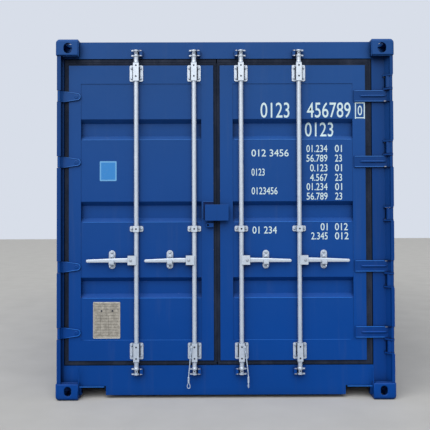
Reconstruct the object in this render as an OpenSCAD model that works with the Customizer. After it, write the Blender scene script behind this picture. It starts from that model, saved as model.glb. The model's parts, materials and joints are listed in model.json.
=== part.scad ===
// Twenty foot shipping container with a full side opening, seen from its door end.
// Millimetres. +Z is up, the end doors face -Y and the folding side doors face +X.
// The origin is on the ground, in the middle of the length and the width.

/* [Overall size] */
// Length over the corner castings
length = 6058; // [4500:1:9200]
// Width over the corner castings
width = 2438; // [2300:1:2600]
// Height over the corner castings
height = 2591; // [2400:1:2900]

/* [Corner castings] */
// Casting size along the container
casting_l = 178; // [165:1:190]
// Casting size across the container
casting_w = 162; // [150:1:175]
// Casting height
casting_h = 118; // [112:1:130]
// Thickness of the casting's side walls
casting_wall = 14; // [10:1:18]
// Thickness of the casting's top or bottom plate
casting_cap = 28; // [20:1:30]
// Radius of the casting's outer edges
casting_corner_r = 20; // [6:1:26]
// Radius of the casting's inner edges
casting_inner_r = 7; // [3:1:10]
// Length of the twist lock slot
slot_l = 124.5; // [115:0.5:130]
// Width of the twist lock slot
slot_w = 63.5; // [58:0.5:68]
// Centre of the slot from the end face
slot_from_end = 102.5; // [95:0.5:108]
// Centre of the slot from the side face
slot_from_side = 89.5; // [84:0.5:94]
// Height of the hole in the end face
end_hole_h = 76; // [66:1:80]
// Width of the hole in the end face
end_hole_w = 63.5; // [50:0.5:66]
// Length of the hole in the side face
side_hole_l = 79.5; // [70:0.5:84]
// Height of the hole in the side face
side_hole_h = 51; // [44:1:60]
// Centre of the end and side holes from the top or bottom face
hole_rise = 66; // [64:1:68]

/* [Corner posts] */
// Outer side of the left posts, in from the casting's side
left_post_inset = 9; // [4:1:14]
// Outer side of the right posts, in from the casting's side
right_post_inset = 8; // [4:1:11]
// Front of the post's lip, behind the casting's end face
lip_recess = 10; // [6:1:12]
// Thickness of the post's lip
lip_t = 12; // [8:1:14]
// Width of the left post's lip
left_lip_w = 28; // [24:1:34]
// Width of the left posts
left_post_w = 41; // [36:1:60]
// Width of the right posts
right_post_w = 144; // [120:1:170]
// Depth of the rear posts, from the casting's end face
rear_post_d = 206; // [190:1:240]
// Depth of the left front post
front_post_d = 170; // [150:1:200]
// Plate thickness of the posts
post_t = 8; // [6:1:12]
// Side of the square bar along the right posts' outer corner
corner_bar = 22; // [18:1:28]
// Door frame faces, behind the casting's end or side face
frame_recess = 60; // [56:1:70]

/* [Door frame] */
// Top of the header below the top of the castings
header_drop = 11; // [6:1:20]
// Depth of the header and the right top rail from top to underside
header_h = 121; // [118:1:150]
// Underside of the sill above the ground
sill_rise = 25; // [12:1:35]
// Height of the sill and the right bottom rail
sill_h = 212; // [190:1:230]
// How far the header and the sill reach into the container
frame_depth = 90; // [70:1:130]
// Plate thickness of the sill
sill_t = 8; // [6:1:10]
// Depth of the lip along the sill's lower edge
sill_lip = 40; // [20:1:70]
// Width of the notches in the sill
notch_w = 178; // [150:1:190]
// Height of the notches in the sill
notch_h = 66; // [50:1:80]
// Notch edge from the casting's inner side
notch_gap = 13; // [8:1:30]

/* [Rails and floor] */
// Width of the left side rails
rail_w = 60; // [50:1:70]
// Height of the left top rail and the front top rail
top_rail_h = 62; // [50:1:80]
// Height of the left bottom rail and the front bottom rail
bottom_rail_h = 160; // [140:1:170]
// Width of the right side rails
right_rail_w = 80; // [70:1:85]
// Width of the front rails along the container
front_rail_w = 60; // [50:1:70]
// Top of the floor above the ground
floor_top = 232; // [225:1:238]
// Thickness of the floor boards
floor_t = 28; // [21:1:30]
// Number of floor boards across the width
board_count = 6; // [4:1:8]
// Gap between floor boards
board_gap = 3; // [2:1:5]
// Height of a cross member
member_h = 122; // [100:1:125]
// Flange width of a cross member
member_w = 45; // [35:1:60]
// Plate thickness of a cross member
member_t = 4.5; // [4:0.5:6]
// Number of cross members
member_count = 19; // [15:1:24]

/* [Wall and roof sheets] */
// Thickness of the corrugated sheets
sheet_t = 2; // [1.6:0.1:3]
// Outer face of the walls behind the outer face of their posts
wall_inset = 3; // [1:1:8]
// Depth of the left wall's corrugations
side_wave_d = 36; // [30:1:45]
// Corrugations along the left wall
side_wave_count = 20; // [16:1:24]
// Depth of the front wall's corrugations
front_wave_d = 45; // [30:1:46]
// Corrugations across the front wall
front_wave_count = 9; // [7:1:11]
// Depth of the roof's corrugations
roof_wave_d = 20; // [14:1:24]
// Corrugations along the roof
roof_wave_count = 27; // [22:1:32]
// Width of the sloping part of a corrugation
wave_slope = 60; // [40:1:64]
// Width of the sloping part of a roof corrugation
roof_slope = 18; // [12:1:30]

/* [End doors] */
// Front of the door leaves, behind the casting's end face
leaf_recess = 55; // [53:1:57]
// Thickness of a door leaf
leaf_t = 50; // [44:1:56]
// Middle of the gap between the two end doors, from the container's middle
door_split_x = -62; // [-80:1:-40]
// Gap between the steel of the two end doors
split_gap = 48; // [40:1:60]
// Gap between the left door and its post
seal_left = 36; // [24:1:44]
// Gap between the right door and its post
seal_right = 49; // [36:1:56]
// Gap between the doors and the header
seal_top = 50; // [40:1:56]
// Gap between the doors and the sill
seal_bottom = 36; // [34:1:50]
// Width of the upright edge members of the left door and the side doors
stile_w = 87; // [70:1:95]
// Width of the right door's upright edge members
right_stile_w = 92; // [70:1:100]
// Height of the door leaf's top member
leaf_top_h = 133; // [128:1:150]
// Height of the door leaf's bottom member
leaf_bottom_h = 147; // [130:1:156]
// Front of the door panel behind the front of the leaf
panel_recess = 3; // [2:1:6]
// Thickness of the door panel
panel_t = 3; // [2:0.5:4]
// Depth of a groove across the door panel
groove_d = 34; // [24:1:36]
// Height of a groove at its mouth
groove_h = 150; // [120:1:170]
// Height of a groove's sloping sides
groove_slope = 30; // [20:1:44]
// Middle of the lowest groove above the leaf's lower edge
groove_rise_low = 524; // [460:1:560]
// Middle of the middle groove above the leaf's lower edge
groove_rise_mid = 1073; // [1000:1:1150]
// Middle of the highest groove above the leaf's lower edge
groove_rise_high = 1671; // [1500:1:1720]
// Front of the rubber seal behind the front of the leaf
seal_recess = 9; // [6:1:14]
// Thickness of the rubber seal
seal_t = 36; // [24:1:38]
// Free gap between a door's seal and the frame
seal_clear = 5; // [5:0.5:8]
// Free gap between the seals of the two end doors
split_clear = 8; // [8:0.5:12]
// Free gap between the two halves of the overlap plate
plate_clear = 5; // [5:0.5:8]

/* [Door hinges] */
// Hinge pin from the casting's side face
pin_inset = 22; // [21:0.5:24]
// Hinge pin behind the casting's end face
pin_recess = 24; // [23:0.5:25]
// Diameter of a hinge pin
pin_d = 14; // [10:1:15]
// Radial play of a hinge on its pin
pin_play = 0.5; // [0.3:0.1:0.8]
// Outer diameter of a hinge barrel
barrel_d = 24; // [21:1:25]
// Thickness of a hinge strap
strap_t = 9; // [6:0.5:9]
// Height of a left hinge strap at the post
left_strap_h = 78; // [60:1:84]
// Height of the left hinge strap's round end
left_strap_end_h = 52; // [40:1:58]
// Height of a right hinge strap
right_strap_h = 81; // [64:1:90]
// How far the rib along a right hinge strap stands out
strap_rib_d = 4; // [2:0.5:6]
// Height of the rib along a right hinge strap
strap_rib_h = 16; // [8:1:24]
// Distance from the rib's end to the strap's end
strap_rib_end = 42; // [20:1:60]
// Free height above and below a hinge barrel
barrel_gap = 3; // [2:0.5:5]
// Height of the first hinge above the ground
hinge_z_1 = 475; // [440:1:520]
// Height of the second hinge above the ground
hinge_z_2 = 950; // [900:1:990]
// Height of the third hinge above the ground
hinge_z_3 = 1706; // [1650:1:1740]
// Height of the fourth hinge above the ground
hinge_z_4 = 2182; // [2100:1:2190]
// Height of the side doors' middle hinge above the ground
side_hinge_mid_z = 1329; // [1250:1:1400]
// Distance from an end door hinge to the side door hinge that shares its pin
side_hinge_step = 100; // [98:1:110]
// Thickness of the hinge lug plates
lug_t = 10; // [6:1:10]
// Outer edges of the lug plates behind the casting's faces
lug_recess = 11; // [10:0.5:14]
// Reach of a lug plate along the right post's faces
lug_foot = 14; // [8:1:24]

/* [Lock bars] */
// Diameter of a lock bar
bar_d = 32; // [28:1:34]
// Middle of a lock bar behind the casting's end or side face
bar_recess = 36; // [34:0.5:37]
// Left outer bar from the middle of the door gap
left_outer_bar = 581; // [540:1:620]
// Left inner bar from the middle of the door gap
left_inner_bar = 163; // [150:1:200]
// Right inner bar from the middle of the door gap
right_inner_bar = 177; // [150:1:200]
// Right outer bar from the middle of the door gap
right_outer_bar = 596; // [540:1:620]
// Radial play of a bar in its bearings
bar_play = 1; // [0.5:0.1:1.5]
// Width of a bearing's base plate
bearing_w = 96; // [80:1:100]
// Height of an upper or lower bearing's base plate
bearing_h = 117; // [90:1:125]
// Height of a middle guide's base plate
guide_h = 40; // [34:1:60]
// Thickness of a bearing's base plate
bearing_t = 6; // [4:0.5:8]
// Width of the bearing's block around the bar
block_w = 40; // [38:1:46]
// How much taller the block is than the base plate, on the outer side
block_extra = 14; // [8:1:20]
// How much taller the block of a middle guide is than its base plate
guide_extra = 4; // [2:1:12]
// Wall in front of the bar in a bearing
block_wall = 4; // [3:0.5:6]
// Middle of the upper bearings below the top of the leaf
bearing_drop = 59; // [59:1:80]
// Middle of the lower bearings above the bottom of the leaf
bearing_rise = 70; // [60:1:84]
// Middle of the middle guides above the ground
guide_z = 1223; // [1180:1:1290]
// Diameter of the cam's core between its flanges
cam_core_d = 26; // [22:1:28]
// Diameter of the cam's flanges
cam_flange_d = 42; // [38:1:44]
// Thickness of a cam flange
cam_flange_t = 9; // [7:1:11]
// Reach of the cam's beak from the bar's middle
beak_reach = 35; // [32:1:40]
// Width of the beak's tip
beak_tip_d = 12; // [8:1:16]
// Free height between the two flanges of a cam
cam_gap = 28; // [26:1:34]
// Middle of the upper cam above the underside of the header
upper_cam_rise = 34; // [28:1:60]
// Middle of the lower cam below the top of the sill
lower_cam_drop = 37; // [30:1:60]
// Free gap between a cam and its keeper
keeper_clear = 5; // [4:0.5:6]
// Width of a keeper's cheek
keeper_cheek_w = 20; // [14:1:26]

/* [Handles] */
// Middle of the handles above the ground
handle_z = 998; // [960:1:1040]
// Tip of a handle from the middle of its bar
handle_reach = 360; // [330:1:380]
// Rivet of a handle from the middle of its bar
rivet_reach = 40; // [38:1:44]
// Diameter of the rivet
rivet_d = 14; // [12:1:16]
// Height of a handle at its rivet
handle_root_h = 33; // [28:1:36]
// Height of a handle at its tip
handle_tip_h = 24; // [18:1:28]
// Thickness of a handle
handle_t = 11; // [8:1:12]
// Middle of the handle in front of the middle of its bar
handle_offset = 12.5; // [12:0.5:13]
// Length of the hub that carries a handle
hub_l = 60; // [58:1:64]
// Height of the hub
hub_h = 66; // [56:1:70]
// Thickness of the hub's two cheeks
hub_t = 5; // [4:0.5:5]
// Free gap between a handle and the hub's cheeks
hub_play = 2; // [1:0.5:2]
// Catch of a handle from the middle of its bar
catch_reach = 177; // [160:1:200]
// Width of a catch plate
catch_w = 47; // [40:1:54]
// Height of a catch plate
catch_h = 134; // [110:1:150]
// Free gap between a handle and the rest below it
rest_clear = 5; // [5:0.5:8]
// Thickness of the rest below a handle
rest_t = 7; // [5:1:9]
// Width of the rest below a handle
rest_w = 37; // [24:1:40]

/* [Centre plate and data plate] */
// Width of the overlap plate on the door gap
centre_plate_w = 168; // [150:1:200]
// Height of the overlap plate
centre_plate_h = 114; // [100:1:130]
// Middle of the overlap plate above the ground
centre_plate_z = 1339; // [1300:1:1380]
// Front of the overlap plate behind the casting's end face
centre_plate_recess = 14; // [8:1:24]
// Thickness of the overlap plate
centre_plate_t = 6; // [4:1:8]
// Left edge of the plate behind it, from the overlap plate's left edge
back_plate_out = 16; // [6:1:24]
// Top of the plate behind it, from the overlap plate's top
back_plate_up = 24; // [8:1:40]
// Height of the plate behind the overlap plate
back_plate_h = 122; // [100:1:150]
// Width of the data plate
data_plate_w = 196; // [150:1:220]
// Height of the data plate
data_plate_h = 262; // [200:1:280]
// Data plate from the middle of the left outer bar
data_plate_offset = 217; // [200:1:230]
// Middle of the data plate above the ground
data_plate_z = 564; // [560:1:570]
// Thickness of the data plate
data_plate_t = 2; // [1:0.5:3]

/* [Side doors] */
// Gap between two side leaves that fold on each other
fold_gap = 20; // [14:1:30]
// Gap between the side doors and their posts
side_seal = 30; // [24:1:40]
// Gap between the two middle side leaves
side_split = 40; // [30:1:50]
// Reach of the side hinge straps from their pins
side_strap_reach = 300; // [280:1:320]
// Lock bar of a side leaf from the leaf's middle
side_bar_offset = 150; // [0:1:200]
// Height of a hinge between two folding leaves
fold_hinge_h = 80; // [60:1:120]
// Width of a hinge between two folding leaves
fold_hinge_w = 120; // [100:1:160]
// Thickness of a hinge between two folding leaves
fold_hinge_t = 5; // [3:1:8]
// Diameter of the knuckle between two folding leaves
fold_knuckle_d = 16; // [12:1:18]

/* [Hidden] */
$fn = 48;

// Colours
paint = [0.09, 0.29, 0.58];
paint_dark = [0.07, 0.24, 0.50];
zinc = [0.78, 0.80, 0.82];
rubber = [0.11, 0.13, 0.15];
plywood = [0.62, 0.44, 0.27];
rope_white = [0.86, 0.87, 0.85];
plate_grey = [0.62, 0.61, 0.58];

// Overlap of joined shapes, and how far a straight edge ends inside a round end
e = 0.01;
inset = 0.5;

// Places worked out from the sizes above
half_l = length / 2;
half_w = width / 2;
post_z0 = casting_h;
post_z1 = height - casting_h;
left_out = -(half_w - left_post_inset);
right_out = half_w - right_post_inset;
open_left = left_out + left_post_w;
open_right = right_out - right_post_w;
header_z1 = height - header_drop;
header_z0 = header_z1 - header_h;
sill_z0 = sill_rise;
sill_z1 = sill_rise + sill_h;
casting_in = half_w - casting_w;
frame_back = frame_recess + frame_depth;
rail_in = left_out + rail_w;
right_rail_out = half_w - frame_recess;
right_rail_in = right_rail_out - right_rail_w;
top_rail_z0 = header_z1 - top_rail_h;
bottom_rail_z1 = floor_top - floor_t;
bottom_rail_z0 = bottom_rail_z1 - bottom_rail_h;
front_rail_back = lip_recess + front_rail_w;

// End door leaves
leaf_z0 = sill_z1 + seal_bottom;
leaf_z1 = header_z0 - seal_top;
left_leaf_x0 = open_left + seal_left;
left_leaf_x1 = door_split_x - split_gap / 2;
right_leaf_x0 = door_split_x + split_gap / 2;
right_leaf_x1 = open_right - seal_right;
pin_x = half_w - pin_inset;
strap_v1 = leaf_recess - pin_recess;
hinge_zs = [hinge_z_1, hinge_z_2, hinge_z_3, hinge_z_4];
// Where a strap has bent over from its barrel, and the bevel at the strap's back
strap_bend_x = 24;
strap_bevel = 4;
// The core of a barrel that its web starts in
barrel_core = 18;
// Where the rib along a strap starts, and how much its ends and edges slope
strap_rib_start = 30;
strap_rib_slope = 3;
// From a right strap's end to the edge of the leaf's upright
strap_margin = 8;
// The side door's hinge lies below the two lower end door hinges and above the two upper ones
side_steps = [-1, -1, 1, 1];
side_hinge_zs = [
    hinge_z_1 - side_hinge_step, hinge_z_2 - side_hinge_step, side_hinge_mid_z,
    hinge_z_3 + side_hinge_step, hinge_z_4 + side_hinge_step
];

// Lock gear
bars_left = [door_split_x - left_outer_bar, door_split_x - left_inner_bar];
bars_right = [door_split_x + right_inner_bar, door_split_x + right_outer_bar];
upper_bearing_z = leaf_z1 - bearing_drop;
lower_bearing_z = leaf_z0 + bearing_rise;
upper_cam_z = header_z0 + upper_cam_rise;
lower_cam_z = sill_z1 - lower_cam_drop;
cam_half = cam_gap / 2 + cam_flange_t;
gear_back = leaf_recess - bar_recess;
bearing_r = 10;
catch_r = 12;
// Middle of a catch plate above the middle of its handle
catch_rise = 3;
// Outer edges of a hub beyond its rivet, and the rivet's head in front of it
hub_web_gap = 6;
rivet_head = 3;
// The boss of a handle beyond its root
handle_boss = 3;
// Front of a keeper's cheek before the middle of the bar
cheek_lead = 8;
// Size of a stay behind the overlap plate
stay_w = 20;
stay_h = 60;
// Front of the plate behind the overlap plate, before the leaf
back_plate_gap = 12;
// Eye for a padlock below the overlap plate
lock_eye_w = 40;
lock_eye_h = 30;
lock_eye_t = 22;
lock_eye_rim = 7;
lock_eye_z = 1249;
data_plate_r = 6;

// Side doors, measured along the container from its middle
side_open0 = -half_l + rear_post_d;
side_open1 = half_l - rear_post_d;
side_leaf_w = (side_open1 - side_open0 - 2 * side_seal - 2 * fold_gap - side_split) / 4;
side_leaf_1_y = side_open0 + side_seal;
side_leaf_2_y = side_leaf_1_y + side_leaf_w + fold_gap;
side_leaf_3_y = side_leaf_2_y + side_leaf_w + side_split;
side_leaf_4_y = side_leaf_3_y + side_leaf_w + fold_gap;
side_leaf_ys = [side_leaf_1_y, side_leaf_2_y, side_leaf_3_y, side_leaf_4_y];
side_bar_sides = [-1, -1, 1, 1];
function side_bar_y(i) =
    side_leaf_ys[i] + side_leaf_w / 2 - side_bar_sides[i] * side_bar_offset;

// Tie ropes: points of the route, x and z on the door, y behind the casting's end face
rope_d = 8;
left_rope_route = [
    [-246, 8, 372], [-247, 8, 362], [-248, 8, 350], [-250, 7, 338], [-251, 7, 325],
    [-253, 7, 312], [-254, 7, 300], [-256, 7, 287], [-257, 7, 275], [-258, 7, 262],
    [-259, 7, 250], [-260, 8, 237], [-261, 8, 225], [-263, 8, 208], [-265, 9, 187],
    [-267, 9, 165]
];
right_rope_route = [
    [136, 8, 372], [137, 8, 362], [139, 8, 350], [141, 8, 338], [143, 9, 325],
    [145, 9, 312], [146, 10, 300], [148, 10, 287], [149, 11, 275], [151, 11, 262],
    [152, 12, 250], [154, 12, 237], [155, 13, 225], [157, 14, 208], [159, 15, 187],
    [161, 16, 165]
];
ferrule_d = 14;
ferrule_l = 44;
loop_w = 31;
loop_h = 47;
loop_wire = 5;
loop_seat = 2;
right_loop_turn = 70;
// Block of the eye that a rope hangs from, and its middle from the rope's start
eye_size = [14, 18, 14];
eye_offset = [0, 5, 7];

// Moves a shape from depth behind the end face to its place at the door end
module at_door_end() translate([0, -half_l, 0]) children();

// Moves a shape drawn like the door end round to the right side
module at_right_side() translate([half_w, 0, 0]) rotate([0, 0, 90]) children();

// A slot with round ends, long along y
module slot_shape(l, w) {
    square([w, l - w], center = true);
    for (s = [-1, 1]) translate([0, s * (l - w) / 2]) circle(d = w);
}

// A rectangle with four round corners, standing in the xz plane and d thick along y
module round_plate(w, h, d, r) {
    rotate([90, 0, 0]) translate([0, 0, -d]) linear_extrude(d) {
        square([w - 2 * r, h], center = true);
        square([w, h - 2 * r], center = true);
        for (sx = [-1, 1]) for (sz = [-1, 1])
            translate([sx * (w / 2 - r), sz * (h / 2 - r)]) circle(r);
    }
}

// What a fillet of radius r takes away from the corner at the origin
module corner_cut(r) difference() {
    translate([-1, -1]) square(r + 1);
    translate([r, r]) circle(r);
}

// Fillets along the edges of a casting: upright, then along y, then along x
module casting_fillets() {
    translate([0, 0, -1]) linear_extrude(casting_h + 2) {
        corner_cut(casting_corner_r);
        translate([casting_w, 0]) rotate(90) corner_cut(casting_inner_r);
    }
    translate([0, casting_l + 1, 0]) rotate([90, 0, 0]) linear_extrude(casting_l + 2) {
        corner_cut(casting_corner_r);
        translate([casting_w, 0]) rotate(90) corner_cut(casting_inner_r);
        translate([0, casting_h]) rotate(-90) corner_cut(casting_inner_r);
    }
    translate([-1, 0, 0]) rotate([90, 0, 90]) linear_extrude(casting_w + 2) {
        corner_cut(casting_corner_r);
        translate([0, casting_h]) rotate(-90) corner_cut(casting_inner_r);
    }
}

// One corner casting with its outer corner at the origin, reaching towards +x, +y and +z
module casting() {
    inner_h = casting_h - casting_cap - casting_wall;
    difference() {
        cube([casting_w, casting_l, casting_h]);
        casting_fillets();
        translate([casting_wall, casting_wall, casting_cap])
            cube([casting_w - 2 * casting_wall, casting_l - 2 * casting_wall, inner_h]);
        translate([slot_from_side, slot_from_end, -1])
            linear_extrude(casting_cap + 2) slot_shape(slot_l, slot_w);
        translate([slot_from_side, -1, hole_rise]) rotate([-90, 0, 0])
            linear_extrude(casting_wall + 2) slot_shape(end_hole_h, end_hole_w);
        translate([-1, slot_from_end, hole_rise]) rotate([90, 0, 90])
            linear_extrude(casting_wall + 2) rotate(90) slot_shape(side_hole_l, side_hole_h);
    }
}

// Four castings, one at each corner
module four_castings() {
    for (mx = [0, 1]) for (my = [0, 1])
        mirror([mx, 0, 0]) mirror([0, my, 0])
            translate([-half_w, -half_l, 0]) casting();
}

module bottom_castings() color(paint_dark) four_castings();

module top_castings()
    color(paint_dark) translate([0, 0, height]) mirror([0, 0, 1]) four_castings();

// The room that the castings take, for the frame members between them
module casting_rooms() {
    for (mx = [0, 1]) for (my = [0, 1]) for (z = [-1, post_z1])
        mirror([mx, 0, 0]) mirror([0, my, 0])
            translate([-half_w - 1, -half_l - 1, z])
                cube([casting_w + 1, casting_l + 1, casting_h + 1]);
}

// Plan of the left post: a lip in front, a web and a hollow body
module left_post_plan(depth) {
    x = left_out;
    difference() {
        polygon([
            [x, lip_recess], [x + left_lip_w, lip_recess],
            [x + left_lip_w, lip_recess + lip_t], [x + post_t, lip_recess + lip_t],
            [x + post_t, frame_recess], [open_left, frame_recess],
            [open_left, depth], [x, depth]
        ]);
        translate([x + post_t, frame_recess + post_t])
            square([left_post_w - 2 * post_t, depth - frame_recess - 2 * post_t]);
    }
}

// Plan of the right post: flat faces to the end and the side, and a corner bar that holds pins
module right_post_plan(depth) {
    side = right_rail_out;
    bar_x = right_out - corner_bar;
    bar_y = lip_recess + corner_bar;
    web = post_t / 2;
    difference() {
        polygon([
            [open_right, frame_recess], [side, frame_recess], [bar_x - web, bar_y - web],
            [bar_x, lip_recess], [right_out, lip_recess], [right_out, bar_y],
            [bar_x + web, bar_y + web], [side, frame_recess + post_t],
            [side, depth], [open_right, depth]
        ]);
        translate([open_right + post_t, frame_recess + post_t])
            square([side - open_right - 2 * post_t, depth - frame_recess - 2 * post_t]);
    }
}

module left_rear_post() color(paint) at_door_end() difference() {
    translate([0, 0, post_z0]) linear_extrude(post_z1 - post_z0) left_post_plan(rear_post_d);
    for (z = hinge_zs) {
        notch = left_strap_h + 2 * barrel_gap;
        translate([left_out - 1, 0, z - notch / 2]) cube([left_post_w, frame_recess, notch]);
    }
}

// Lower and upper end of the notch that a shared hinge needs in the right post
function shared_notch(i) =
    let (near = right_strap_h / 2 + barrel_gap)
    let (far = side_hinge_step + right_strap_h / 2 + barrel_gap + lug_t)
    side_steps[i] < 0
        ? [hinge_zs[i] - far, hinge_zs[i] + near]
        : [hinge_zs[i] - near, hinge_zs[i] + far];
mid_notch_half = right_strap_h / 2 + barrel_gap + lug_t;
mid_notch = [side_hinge_mid_z - mid_notch_half, side_hinge_mid_z + mid_notch_half];
// From one end of the container to the other, each post has these notches
right_notches = concat([for (i = [0 : 3]) shared_notch(i)], [mid_notch]);

module right_post() difference() {
    translate([0, 0, post_z0]) linear_extrude(post_z1 - post_z0) right_post_plan(rear_post_d);
    for (n = right_notches)
        translate([right_rail_out, 0, n[0]])
            cube([frame_recess + 1, frame_recess + 2 * post_t, n[1] - n[0]]);
}

module right_rear_post() color(paint) at_door_end() right_post();

module right_front_post() color(paint) mirror([0, 1, 0]) at_door_end() right_post();

module left_front_post() color(paint)
    translate([left_out, half_l - front_post_d, post_z0])
        cube([rail_w, front_post_d - lip_recess, post_z1 - post_z0]);

// Header: a closed box between the castings, above the doors
module door_header() color(paint) difference() {
    translate([open_left, -half_l + frame_recess, header_z0])
        cube([open_right - open_left, frame_depth, header_h]);
    casting_rooms();
}

// Sill: a channel with an upright front, a tread and a lower lip, notched beside the castings
module door_sill() color(paint) difference() {
    face = frame_recess - half_l;
    translate([open_left, 0, 0]) rotate([90, 0, 90]) linear_extrude(open_right - open_left)
        polygon([
            [face, sill_z0], [face + sill_lip, sill_z0], [face + sill_lip, sill_z0 + sill_t],
            [face + sill_t, sill_z0 + sill_t], [face + sill_t, sill_z1 - sill_t],
            [frame_back - half_l, sill_z1 - sill_t], [frame_back - half_l, sill_z1],
            [face, sill_z1]
        ]);
    casting_rooms();
    for (mx = [0, 1]) mirror([mx, 0, 0])
        translate([casting_in - notch_gap - notch_w, -half_l, sill_z0 - 1])
            cube([notch_w, frame_back, notch_h + 1]);
}

module front_top_rail() color(paint) difference() {
    translate([left_out + rail_w, half_l - front_rail_back, top_rail_z0])
        cube([open_right - left_out - rail_w, front_rail_w, top_rail_h]);
    casting_rooms();
}

module front_bottom_rail() color(paint) difference() {
    translate([left_out + rail_w, half_l - front_rail_back, bottom_rail_z0])
        cube([open_right - left_out - rail_w, front_rail_w, bottom_rail_h]);
    casting_rooms();
}

module left_top_rail() color(paint) difference() {
    translate([left_out, -half_l + rear_post_d, top_rail_z0])
        cube([rail_w, length - rear_post_d - front_post_d, top_rail_h]);
    casting_rooms();
}

module left_bottom_rail() color(paint) difference() {
    translate([left_out, -half_l + rear_post_d, bottom_rail_z0])
        cube([rail_w, length - rear_post_d - front_post_d, bottom_rail_h]);
    casting_rooms();
}

module right_top_rail() color(paint)
    translate([right_rail_in, side_open0, header_z0])
        cube([right_rail_w, side_open1 - side_open0, header_h]);

module right_bottom_rail() color(paint)
    translate([right_rail_in, side_open0, sill_z0])
        cube([right_rail_w, side_open1 - side_open0, sill_h]);

// Channel-shaped cross members between the bottom rails, carrying the floor
module cross_members() color(paint_dark) {
    y0 = side_open0 + board_gap;
    y1 = side_open1 - board_gap - member_w;
    step = (y1 - y0) / (member_count - 1);
    z1 = bottom_rail_z1;
    for (i = [0 : member_count - 1])
        translate([rail_in, y0 + i * step, 0])
            rotate([90, 0, 90]) linear_extrude(right_rail_in - rail_in) polygon([
                [0, z1 - member_h], [member_w, z1 - member_h],
                [member_w, z1 - member_h + member_t], [member_t, z1 - member_h + member_t],
                [member_t, z1 - member_t], [member_w, z1 - member_t], [member_w, z1], [0, z1]
            ]);
}

// Floor boards along the container, the last one cut round the right posts
module floor_boards() color(plywood) {
    span = right_rail_in - rail_in - 2 * board_gap;
    board = (span - (board_count - 1) * board_gap) / board_count;
    difference() {
        for (i = [0 : board_count - 1])
            translate([
                rail_in + board_gap + i * (board + board_gap), -half_l + frame_back,
                floor_top - floor_t
            ]) cube([board, length - frame_back - front_rail_back, floor_t]);
        for (my = [0, 1]) mirror([0, my, 0])
            translate([open_right - board_gap, -half_l, 0])
                cube([right_post_w, rear_post_d + board_gap, floor_top + 1]);
    }
}

// Points of a corrugated line of n waves over a length, starting and ending in a half flat
function waves(total, n, slope, depth) =
    let (pitch = total / n, flat = (total / n - 2 * slope) / 2)
    concat(
        [for (i = [0 : n - 1]) each [
            [i * pitch, 0], [i * pitch + flat / 2, 0],
            [i * pitch + flat / 2 + slope, depth],
            [i * pitch + flat * 1.5 + slope, depth],
            [i * pitch + flat * 1.5 + 2 * slope, 0]
        ]],
        [[total, 0]]
    );

function reversed(list) = [for (i = [len(list) - 1 : -1 : 0]) list[i]];

// Outline of a corrugated sheet, its thickness measured across the waves
module wave_sheet(total, n, slope, depth) {
    line = waves(total, n, slope, depth);
    polygon(concat(line, reversed([for (p = line) [p.x, p.y + sheet_t]])));
}

module roof_panel() color(paint) {
    y0 = -half_l + frame_back;
    total = length - frame_back - front_rail_back;
    difference() {
        translate([rail_in, y0, header_z1 - roof_wave_d - sheet_t])
            rotate([90, 0, 90]) linear_extrude(right_rail_in - rail_in)
                wave_sheet(total, roof_wave_count, roof_slope, roof_wave_d);
        casting_rooms();
    }
}

module left_side_wall() color(paint) {
    y0 = -half_l + rear_post_d;
    total = length - rear_post_d - front_post_d;
    difference() {
        translate([left_out + wall_inset, y0, bottom_rail_z1])
            linear_extrude(top_rail_z0 - bottom_rail_z1)
                mirror([1, -1, 0]) wave_sheet(total, side_wave_count, wave_slope, side_wave_d);
        casting_rooms();
    }
}

module front_wall() color(paint) {
    x0 = left_out + rail_w;
    total = open_right - x0;
    difference() {
        translate([x0, half_l - lip_recess - wall_inset, bottom_rail_z1])
            linear_extrude(top_rail_z0 - bottom_rail_z1)
                mirror([0, 1, 0]) wave_sheet(total, front_wave_count, wave_slope, front_wave_d);
        casting_rooms();
    }
}

// Front of a door panel of height h from bottom to top, as depth and height, with its grooves
function panel_line(h) =
    let (front = leaf_recess + panel_recess, back = front + groove_d)
    concat(
        [[front, leaf_bottom_h - e]],
        [for (z = [groove_rise_low, groove_rise_mid, groove_rise_high]) each [
            [front, z - groove_h / 2], [back, z - groove_h / 2 + groove_slope],
            [back, z + groove_h / 2 - groove_slope], [front, z + groove_h / 2]
        ]],
        [[front, h - leaf_top_h + e]]
    );

// A door leaf: a frame of edge members and a panel with three level grooves from edge to edge
module door_leaf(w, h, stile) {
    line = panel_line(h);
    difference() {
        translate([0, leaf_recess, 0]) cube([w, leaf_t, h]);
        translate([stile, leaf_recess - 1, leaf_bottom_h])
            cube([w - 2 * stile, leaf_t + 2, h - leaf_bottom_h - leaf_top_h]);
    }
    translate([stile - e, 0, 0]) rotate([90, 0, 90]) linear_extrude(w - 2 * stile + 2 * e)
        polygon(concat(line, reversed([for (p = line) [p.x + panel_t, p.y]])));
}

module left_door_leaf() color(paint) at_door_end()
    translate([left_leaf_x0, 0, leaf_z0])
        door_leaf(left_leaf_x1 - left_leaf_x0, leaf_z1 - leaf_z0, stile_w);

module right_door_leaf() color(paint) at_door_end()
    translate([right_leaf_x0, 0, leaf_z0])
        door_leaf(right_leaf_x1 - right_leaf_x0, leaf_z1 - leaf_z0, right_stile_w);

// A seal around a leaf, reaching out by the given widths to the left, right, bottom and top
module gasket(x0, x1, to_left, to_right, to_bottom, to_top) {
    translate([0, leaf_recess + seal_recess, 0]) difference() {
        translate([x0 - to_left, 0, leaf_z0 - to_bottom])
            cube([x1 - x0 + to_left + to_right, seal_t, leaf_z1 - leaf_z0 + to_bottom + to_top]);
        translate([x0, -1, leaf_z0]) cube([x1 - x0, seal_t + 2, leaf_z1 - leaf_z0]);
    }
}

module left_door_gasket() color(rubber) at_door_end() gasket(
    left_leaf_x0, left_leaf_x1, seal_left - seal_clear, (split_gap - split_clear) / 2,
    seal_bottom - seal_clear, seal_top - seal_clear
);

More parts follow.
